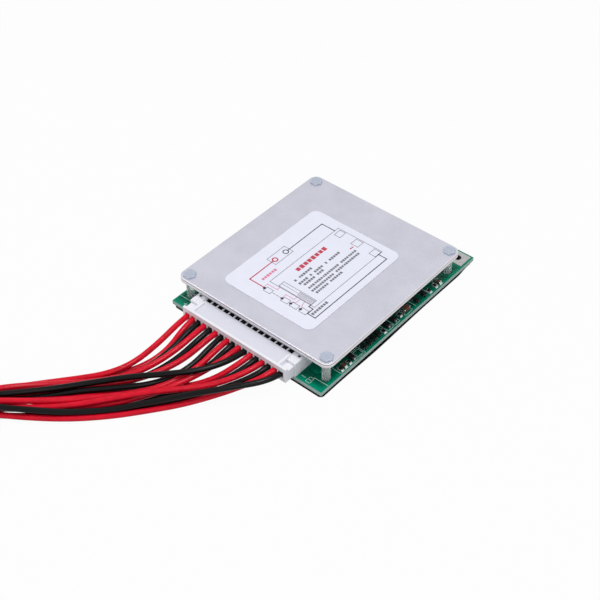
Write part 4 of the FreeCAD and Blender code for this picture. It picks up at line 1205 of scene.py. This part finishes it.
# White marking on the board beside the plate, in millimetres from the board's middle
MARKING_LINES = [
    [(26.7, -38.4), (32.2, -38.2)], [(23.0, -40.05), (24.5, -40.1)],
    [(-32.2, -38.4), (-27.4, -38.35)], [(28.4, -31.5), (32.1, -31.5), (32.1, -23.0)],
    [(28.7, -7.2), (32.2, -7.2)], [(28.6, 9.1), (31.6, 9.1)], [(28.6, 17.0), (32.0, 17.0)],
    [(-28.4, -40.5), (-27.1, -40.5)], [(-27.75, -39.9), (-27.75, -41.1)],
]
MARKING_BOXES = [
    ((25.4, -41.2), (27.1, -40.0)), ((25.5, -39.9), (27.0, -38.8)), ((28.7, -22.7), (32.2, -19.0)),
    ((29.3, -22.2), (31.6, -19.5)), ((27.7, -6.5), (31.9, -3.5)), ((27.7, -2.9), (31.9, -0.1)),
    ((28.8, 3.1), (31.9, 6.9)), ((28.6, 22.2), (32.0, 24.4)),
]


def board_marking(silk, level):
    """White lines and boxes round the small parts beside the plate."""
    shape = bmesh.new()
    for points in MARKING_LINES:
        stroke(shape, points, 0.2, level)
    for low_corner, high_corner in MARKING_BOXES:
        outline_box(shape, low_corner, high_corner, 0.18, level)
    piece("board_marking", shape, [silk], "laminate", even=False)


class BOARD_OT_laminate(Operator):
    """Drill the circuit board and print its white marking"""
    bl_idname = "board.laminate"
    bl_label = "Circuit board"

    def execute(self, context):
        colours = context.scene.board_colours
        low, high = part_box("circuit_board")
        corners = [(high.x, high.y), (low.x, high.y), (low.x, low.y), (high.x, low.y)]
        holes = [round_hole(centre, SCREW_HOLE_RADIUS) for centre in centres_of("corner_screws")]
        holes += [round_hole(centre, PIN_HOLE_RADIUS, 12) for centre in pin_holes()]
        holes += [round_hole(centre, PAD_DRILL_RADIUS) for centre in centres_of("power_pads")]
        shape = cut_sheet(corners, holes, low.z, high.z, edge=0.06 * MM)
        bmesh.ops.recalc_face_normals(shape, faces=shape.faces)
        for face in shape.faces:
            face.material_index = 0 if abs(face.normal.z) > 0.5 else 1
        piece("laminate", shape, [solder_mask(colours.mask), sawn_laminate(colours.laminate)],
              "laminate", "circuit_board", even=False)
        board_marking(plastic("white_marking", colours.silk, 0.6, 0.3, 0.01), high.z + 0.003 * MM)
        return {"FINISHED"}


def spaced(low, high, margin, fine, coarse):
    """Levels from low to high, closer together within a margin of each end."""
    near = [margin * (1 - math.cos(math.radians(90 * step / fine))) for step in range(fine + 1)]
    middle = [low + margin + (high - low - 2 * margin) * step / coarse for step in range(1, coarse)]
    return [low + step for step in near] + middle + [high - step for step in reversed(near)]


def eased(share):
    """Share from 0 to 1 that starts and ends gently."""
    return share * share * (3 - 2 * share)


def film_shape(low, high, thick, rise):
    """Sheet with round corners that hangs level, and rises to the board along its far edge."""
    held = 3.0 * MM
    ramp = 6.0 * MM
    corner = 1.5 * MM
    ripple = 0.12 * MM
    uneven = 0.3 * MM
    columns = [step / 32 for step in range(-32, 33)]
    rows = spaced(low.y, high.y, corner, 8, 120)

    def lift(x, y):
        """How far the sheet rises at a place, with shallow waves towards its long sides."""
        share = min(1.0, max(0.0, (y - (high.y - held - ramp)) / ramp))
        wave = 0.5 + 0.5 * math.sin(y / MM / 6.1 + 1.4 * math.sin(y / MM / 13.0 + 2))
        loose = (1 - share) * (abs(x) / high.x) ** 6
        return rise * eased(share) + ripple * wave * loose

    def half_width(y):
        """Half of the sheet's width at a place along the board, a little uneven by its cut."""
        inside = max(0.0, corner - min(y - low.y, high.y - y))
        astray = min(1.0, abs(y / MM + 12) / 26)
        return (high.x - corner + math.sqrt(max(0.0, corner * corner - inside * inside))
                - uneven * eased(astray))
    shape = bmesh.new()
    layers = []
    for depth in (thick, 0.0):
        grid = []
        for y in rows:
            across = [half_width(y) * share for share in columns]
            grid.append([shape.verts.new((x, y, low.z + depth + lift(x, y))) for x in across])
        layers.append(grid)
    last_row = len(rows) - 1
    last_column = len(columns) - 1
    for grid in layers:
        for row in range(last_row):
            for column in range(last_column):
                shape.faces.new([grid[row][column], grid[row][column + 1],
                                 grid[row + 1][column + 1], grid[row + 1][column]])
    upper, lower = layers
    rim = [(0, column) for column in range(last_column)]
    rim += [(row, last_column) for row in range(last_row)]
    rim += [(last_row, column) for column in range(last_column, 0, -1)]
    rim += [(row, 0) for row in range(last_row, 0, -1)]
    for (row, column), (next_row, next_column) in zip(rim, rim[1:] + rim[:1]):
        shape.faces.new([upper[row][column], upper[next_row][next_column],
                         lower[next_row][next_column], lower[row][column]])
    return shape


class BOARD_OT_film(Operator):
    """Lay the black insulating sheet under the board"""
    bl_idname = "board.film"
    bl_label = "Insulating sheet"

    def execute(self, context):
        low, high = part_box("insulating_sheet")
        nut_low, nut_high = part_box("corner_nuts")
        shape = film_shape(low, high, nut_low.z - low.z, nut_high.z - nut_low.z)
        sheet = piece("insulating_film", shape, [glossy_film(context.scene.board_colours.film)],
                      "film", "insulating_sheet", even=False)
        rounding = sheet.modifiers.new("cut_edge", "BEVEL")
        rounding.width = 0.08 * MM
        rounding.segments = 2
        rounding.limit_method = "ANGLE"
        rounding.angle_limit = math.radians(60)
        return {"FINISHED"}


class BOARD_OT_connector(Operator):
    """Finish the header, the plug, and the metal in them"""
    bl_idname = "board.connector"
    bl_label = "Connector"

    def execute(self, context):
        colours = context.scene.board_colours
        low, high = [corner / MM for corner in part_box("connector_header")]
        mouth = low.y
        middle = (low.x + high.x) / 2
        plug_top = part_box("plug_housing")[1].z / MM - 0.5

        def within(finish, bottom, top):
            """Between two levels."""
            return (finish.axis("Z") > bottom) * (finish.axis("Z") < top)

        def painted_slot_shade(finish):
            """Where shade is painted, down in the two drain slots of the header's top."""
            across = abs(abs(finish.axis("X") - middle) - ((high.x - low.x) / 2 - 1.35)) < 0.54
            along = abs(finish.axis("Y") - mouth - 3.55) < 0.49
            return across * along * within(finish, high.z - 0.9, high.z - 0.13)

        def windows(finish):
            """Where shade is painted, down in the row of locking windows of the plug's top."""
            across = abs(finish.axis("X") - middle) < 18.8
            along = abs(finish.axis("Y") - mouth - 3.95) < 0.92
            return across * along * (finish.axis("Z") < plug_top - 0.03)

        def roof(finish):
            """Where shade is painted, on the thin roof over the plug's cavities, with soft ends."""
            across = 1 - finish.between(abs(finish.axis("X") - middle), 17.8, 18.2)
            along = finish.between(finish.axis("Y") - mouth, -3.3, -2.7)
            return across * along * within(finish, plug_top - 0.3, plug_top + 0.2)
        header_nylon = moulded_nylon("header_nylon", colours.connector, painted_slot_shade)
        plug_nylon = moulded_nylon("plug_nylon", colours.connector, windows, roof)
        pin_tin = solder("pin_tin", colours.tin, 0.25)
        # Painted shade: the terminals' metal is painted dark, for the shade down in the plug's windows
        bronze = solder("bronze_in_painted_shade", colours.bronze, 0.4)
        dressed("header_shell", "connector_header", 0.12 * MM, header_nylon, "white_nylon")
        dressed("plug_shell", "plug_housing", 0.1 * MM, plug_nylon, "white_nylon")
        dressed("bent_pins", "header_pins", 0.06 * MM, pin_tin, "tinned_pin", 1)
        dressed("pressed_terminals", "crimp_terminals", 0.08 * MM, bronze, "terminal", 1)
        return {"FINISHED"}


class BOARD_OT_power_pads(Operator):
    """Tin the pads for the battery and load cables"""
    bl_idname = "board.power_pads"
    bl_label = "Power pads"

    def execute(self, context):
        tin = solder("levelled_tin", scaled(context.scene.board_colours.tin, 0.72), 0.34)
        dressed("tinned_pads", "power_pads", 0.06 * MM, tin, "solder")
        return {"FINISHED"}


def bent_leg(shape, root, reach, drop, width, thick, across):
    """Leg that leaves a body level, turns down and ends in a foot. Reach is a level vector."""
    ahead = Vector(reach)
    down = Vector((0, 0, -drop))
    up = Vector((0, 0, thick))
    root = Vector(root)
    elbow = root + ahead * 0.38
    heel = root + ahead * 0.6 + down
    toe = root + ahead + down
    outline = [
        root, elbow - ahead * 0.08, elbow + down * 0.12, heel - ahead * 0.04 - down * 0.08,
        heel + ahead * 0.06, toe, toe + up, heel + up + ahead * 0.12,
        heel + ahead * 0.07 + up - down * 0.12, elbow + up + ahead * 0.1 + down * 0.05,
        elbow + up, root + up]
    side = Vector(across).normalized() * width
    extruded(shape, [point - side / 2 for point in outline], side, METAL)


def power_transistor(shape, low, high):
    """Moulded body with its tab, two bent legs, and the stub of the leg between them."""
    tab = 1.2 * MM
    leg = 3.4 * MM
    inset = 0.1 * MM
    drop = 1.9 * MM
    centre = (low.x + high.x) / 2
    waist = low.z + 2.0 * MM
    front = low.y + leg
    back = high.y - tab
    block(shape, (low.x, front, waist), (high.x, back, high.z), edge=0.12 * MM, draft=0.22 * MM)
    block(shape, (low.x + inset, front + inset, low.z + 0.02 * MM),
          (high.x - inset, back, waist), edge=0.1 * MM)
    block(shape, (low.x + 0.3 * MM, back - 0.4 * MM, low.z),
          (high.x - 0.3 * MM, high.y, low.z + 1.3 * MM), edge=0.15 * MM, finish=METAL)
    for east in (-LEG_SPACING / 2, LEG_SPACING / 2):
        bent_leg(shape, (centre + east, front + inset, low.z + drop), (0, -leg - inset, 0),
                 drop, 0.8 * MM, 0.5 * MM, (1, 0, 0))
    stub = low.z + 2.15 * MM
    block(shape, (centre - 0.6 * MM, front - 0.7 * MM, stub - 0.25 * MM),
          (centre + 0.6 * MM, front + 0.2 * MM, stub + 0.25 * MM), edge=0.05 * MM, finish=METAL)


class BOARD_OT_transistors(Operator):
    """Mould the power transistors with their tabs and legs"""
    bl_idname = "board.transistors"
    bl_label = "Power transistors"

    def execute(self, context):
        colours = context.scene.board_colours
        epoxy = plastic("moulded_epoxy", colours.epoxy, 0.5, 0.25, 0.03, 0.15)
        tin = solder("lead_frame_tin", colours.tin, 0.28)
        for number in range(1, 9):
            node = f"power_mosfet_{number}"
            shape = bmesh.new()
            power_transistor(shape, *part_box(node))
            piece(f"power_transistor_{number}", shape, [epoxy, tin], "mosfet", node)
        return {"FINISHED"}


class BOARD_OT_thermal_pads(Operator):
    """Lay the soft pads on the power transistors"""
    bl_idname = "board.thermal_pads"
    bl_label = "Thermal pads"

    def execute(self, context):
        silicone = soft_silicone(context.scene.board_colours.silicone)
        for number in (1, 2):
            dressed(f"gap_pad_{number}", f"thermal_pad_{number}", 0.5 * MM, silicone,
                    "thermal_pad", 3)
        return {"FINISHED"}


def end_capped(shape, low, high, cap, glazed):
    """Glazed resistor or bare capacitor, with a tinned cap and solder at each end."""
    axis = 0 if high.x - low.x > high.y - low.y else 1
    other = 1 - axis
    slit = 0.03 * MM
    body_low = low + Vector((0.04 * MM, 0.04 * MM, slit))
    body_high = high - Vector((0.04 * MM, 0.04 * MM, slit))
    block(shape, body_low, body_high, edge=slit, segments=1)
    if glazed:
        cover_low = Vector((low.x + 0.06 * MM, low.y + 0.06 * MM, body_high.z - 0.01 * MM))
        cover_high = Vector((high.x - 0.06 * MM, high.y - 0.06 * MM, high.z))
        cover_low[axis] = low[axis] + cap
        cover_high[axis] = high[axis] - cap
        block(shape, cover_low, cover_high, finish=TOP)
    inset = 0.05 * MM
    spread = 0.35 * MM
    for outward in (-1, 1):
        cap_low = Vector(low)
        cap_high = Vector(high)
        if outward > 0:
            cap_low[axis] = high[axis] - cap
        else:
            cap_high[axis] = low[axis] + cap
        block(shape, cap_low, cap_high, edge=0.06 * MM, finish=METAL)
        tip = high[axis] if outward > 0 else low[axis]
        wedge = []
        for along, rise in ((-inset, 0), (spread, 0), (spread * 0.35, 0.28), (-inset, 0.7)):
            point = Vector((0, 0, low.z + (high.z - low.z) * rise))
            point[axis] = tip + outward * along
            point[other] = low[other] + inset
            wedge.append(point)
        push = Vector((0, 0, 0))
        push[other] = high[other] - low[other] - 2 * inset
        extruded(shape, wedge, push, METAL)


def leaded_chip(shape, low, high, axis, half, leg_width, before, after):
    """Moulded chip with bent legs before and after it on an axis, given by their places along it."""
    other = 1 - axis
    middle = (low + high) / 2
    waist = low.z + (high.z - low.z) * 0.5
    body_low = Vector(low)
    body_high = Vector(high)
    body_low[axis] = middle[axis] - half * MM
    body_high[axis] = middle[axis] + half * MM
    block(shape, (body_low.x, body_low.y, low.z + 0.1 * MM),
          (body_high.x, body_high.y, waist + 0.02 * MM), edge=0.03 * MM, segments=1)
    block(shape, (body_low.x, body_low.y, waist), (body_high.x, body_high.y, high.z),
          edge=0.04 * MM, draft=0.09 * MM, segments=1)
    across = (0, 1, 0) if axis == 0 else (1, 0, 0)
    inset = 0.05 * MM
    root_level = waist - inset
    for outward, places in ((-1, before), (1, after)):
        wall = body_high if outward > 0 else body_low
        foot = high if outward > 0 else low
        for place in places:
            root = Vector((0, 0, root_level))
            root[axis] = wall[axis] - outward * inset
            root[other] = middle[other] + place * MM
            reach = Vector((0, 0, 0))
            reach[axis] = foot[axis] - root[axis]
            bent_leg(shape, root, reach, root_level - low.z, leg_width * MM, 0.14 * MM, across)


# Leaded chips: node, axis that their legs point along, half of the body on that axis, width of a
# leg, and the places of the legs on each side, in millimetres
EIGHT_LEGS = [0.65 * (step - 3.5) for step in range(8)]
LEADED_CHIPS = [
    ("balance_transistors", 0, 0.65, 0.4, (-0.95, 0.95), (0,)),
    ("cell_detector_ics", 0, 0.8, 0.4, (-0.95, 0, 0.95), (-0.95, 0, 0.95)),
    ("monitor_ics", 0, 2.2, 0.28, EIGHT_LEGS, EIGHT_LEGS),
    ("edge_transistors", 1, 0.65, 0.4, (-0.95, 0.95), (0,)),
    ("edge_diodes", 0, 1.3, 0.7, (0,), (0,)),
]


class BOARD_OT_small_parts(Operator):
    """Place the rows of small parts that serve the cells"""
    bl_idname = "board.small_parts"
    bl_label = "Small parts"

    def execute(self, context):
        colours = context.scene.board_colours
        epoxy = plastic("chip_epoxy", colours.epoxy, 0.42, 0.2, 0.02, 0.15)
        tin = solder("chip_tin", colours.tin, 0.24)
        alumina = plastic("white_alumina", shade(214, 212, 204), 0.5, 0.2, 0.01)
        ceramic = plastic("brown_ceramic", colours.ceramic, 0.42, 0.2, 0.01, 0.1)
        glaze = plastic("black_glaze", shade(24, 24, 26), 0.3, 0.3, 0.01)
        resistor = ("resistor", [alumina, tin, glaze])
        capacitor = ("capacitor", [ceramic, tin])
        for node, cap, (slot, materials) in (
                ("balance_resistors", 0.5, resistor), ("filter_resistors", 0.38, resistor),
                ("edge_resistors", 0.45, resistor), ("current_shunts", 1.3, resistor),
                ("filter_capacitors", 0.42, capacitor), ("edge_capacitors", 0.42, capacitor)):
            shape = bmesh.new()
            for low, high in solids_of(node):
                end_capped(shape, low, high, cap * MM, slot == "resistor")
            piece("soldered_" + node, shape, materials, slot, node, even=False)
        for node, *sizes in LEADED_CHIPS:
            shape = bmesh.new()
            for low, high in solids_of(node):
                leaded_chip(shape, low, high, *sizes)
            piece("leaded_" + node, shape, [epoxy, tin], "black_package", node, even=False)
        return {"FINISHED"}


def lamp(name, place, target, size, watts):
    """Soft square lamp that faces a point."""
    data = bpy.data.lights.new(name, "AREA")
    data.energy = watts
    data.size = size
    obj = link(bpy.data.objects.new(name, data))
    obj.location = place
    obj.rotation_mode = "QUATERNION"
    obj.rotation_quaternion = (Vector(target) - Vector(place)).to_track_quat("-Z", "Y")


WHITE = (1.0, 1.0, 1.0, 1.0)


def pale_floor():
    """Floor that is white where it is looked at, and still takes the object's shadow."""
    finish = Finish("pale_floor")
    paper = finish.node("ShaderNodeBsdfDiffuse", None, {"Color": (0.6, 0.6, 0.61, 1.0)})
    glow = finish.node("ShaderNodeEmission", None, {"Color": WHITE, "Strength": 1.0})
    shown = finish.node("ShaderNodeMixShader", None,
                        {0: finish.direct_rays() * 0.96, 1: paper, 2: glow})
    finish.node("ShaderNodeOutputMaterial", None, {"Surface": shown})
    return finish.material


def white_surroundings():
    """World that is white behind the object and dimmer where it lights it."""
    world = bpy.data.worlds.new("surroundings")
    world.use_nodes = True
    around = NodeWork(world.node_tree)
    air = around.node("ShaderNodeBackground", None,
                      {"Color": WHITE, "Strength": 0.46 + 0.54 * around.direct_rays()})
    around.node("ShaderNodeOutputWorld", None, {"Surface": air})
    return world


class BOARD_OT_stage(Operator):
    """Set the pale floor, the soft lamps and the white surroundings"""
    bl_idname = "board.stage"
    bl_label = "Stage"

    def execute(self, context):
        shape = bmesh.new()
        bmesh.ops.create_grid(shape, x_segments=8, y_segments=8, size=3.0)
        mesh = bpy.data.meshes.new("floor")
        shape.to_mesh(mesh)
        shape.free()
        mesh.materials.append(pale_floor())
        floor = link(bpy.data.objects.new("floor", mesh))
        floor.location.z = CAD_BOX[0].z - 0.02 * MM
        target = (0, -0.02, 0.01)
        lamp("key_lamp", (-0.35, -0.45, 0.75), target, 0.3, 2.5)
        lamp("fill_lamp", (0.6, -0.3, 0.6), target, 0.35, 0.9)
        lamp("top_lamp", (0.22, 0.05, 0.85), target, 0.16, 2.0)
        context.scene.world = white_surroundings()
        context.scene.view_settings.view_transform = "Standard"
        return {"FINISHED"}


class BOARD_PT_steps(Panel):
    """Steps that dress the board, and the sizes and colours that they use"""
    bl_label = "Battery management board"
    bl_idname = "BOARD_PT_steps"
    bl_space_type = "VIEW_3D"
    bl_region_type = "UI"
    bl_category = "Board"

    def draw(self, context):
        for step in STEPS:
            self.layout.operator("board." + step)
        for group in (context.scene.photograph_view, context.scene.harness_sizes,
                      context.scene.board_colours):
            box = self.layout.box()
            for name in group.__annotations__:
                box.prop(group, name)


CLASSES = [
    PhotographView, HarnessSizes, BoardColours, BOARD_OT_camera, BOARD_OT_leads, BOARD_OT_strap,
    BOARD_OT_plate, BOARD_OT_label, BOARD_OT_screws, BOARD_OT_laminate, BOARD_OT_film,
    BOARD_OT_connector, BOARD_OT_power_pads, BOARD_OT_transistors, BOARD_OT_thermal_pads,
    BOARD_OT_small_parts, BOARD_OT_stage, BOARD_PT_steps,
]
STEPS = ["camera", "leads", "strap", "plate", "label", "screws", "laminate", "film", "connector",
         "power_pads", "transistors", "thermal_pads", "small_parts", "stage"]


def register():
    for kind in CLASSES:
        bpy.utils.register_class(kind)
    bpy.types.Scene.photograph_view = PointerProperty(type=PhotographView)
    bpy.types.Scene.harness_sizes = PointerProperty(type=HarnessSizes)
    bpy.types.Scene.board_colours = PointerProperty(type=BoardColours)


def unregister():
    del bpy.types.Scene.board_colours
    del bpy.types.Scene.harness_sizes
    del bpy.types.Scene.photograph_view
    for kind in reversed(CLASSES):
        bpy.utils.unregister_class(kind)


def main():
    register()
    for step in STEPS:
        getattr(bpy.ops.board, step)()


if __name__ == "__main__":
    main()
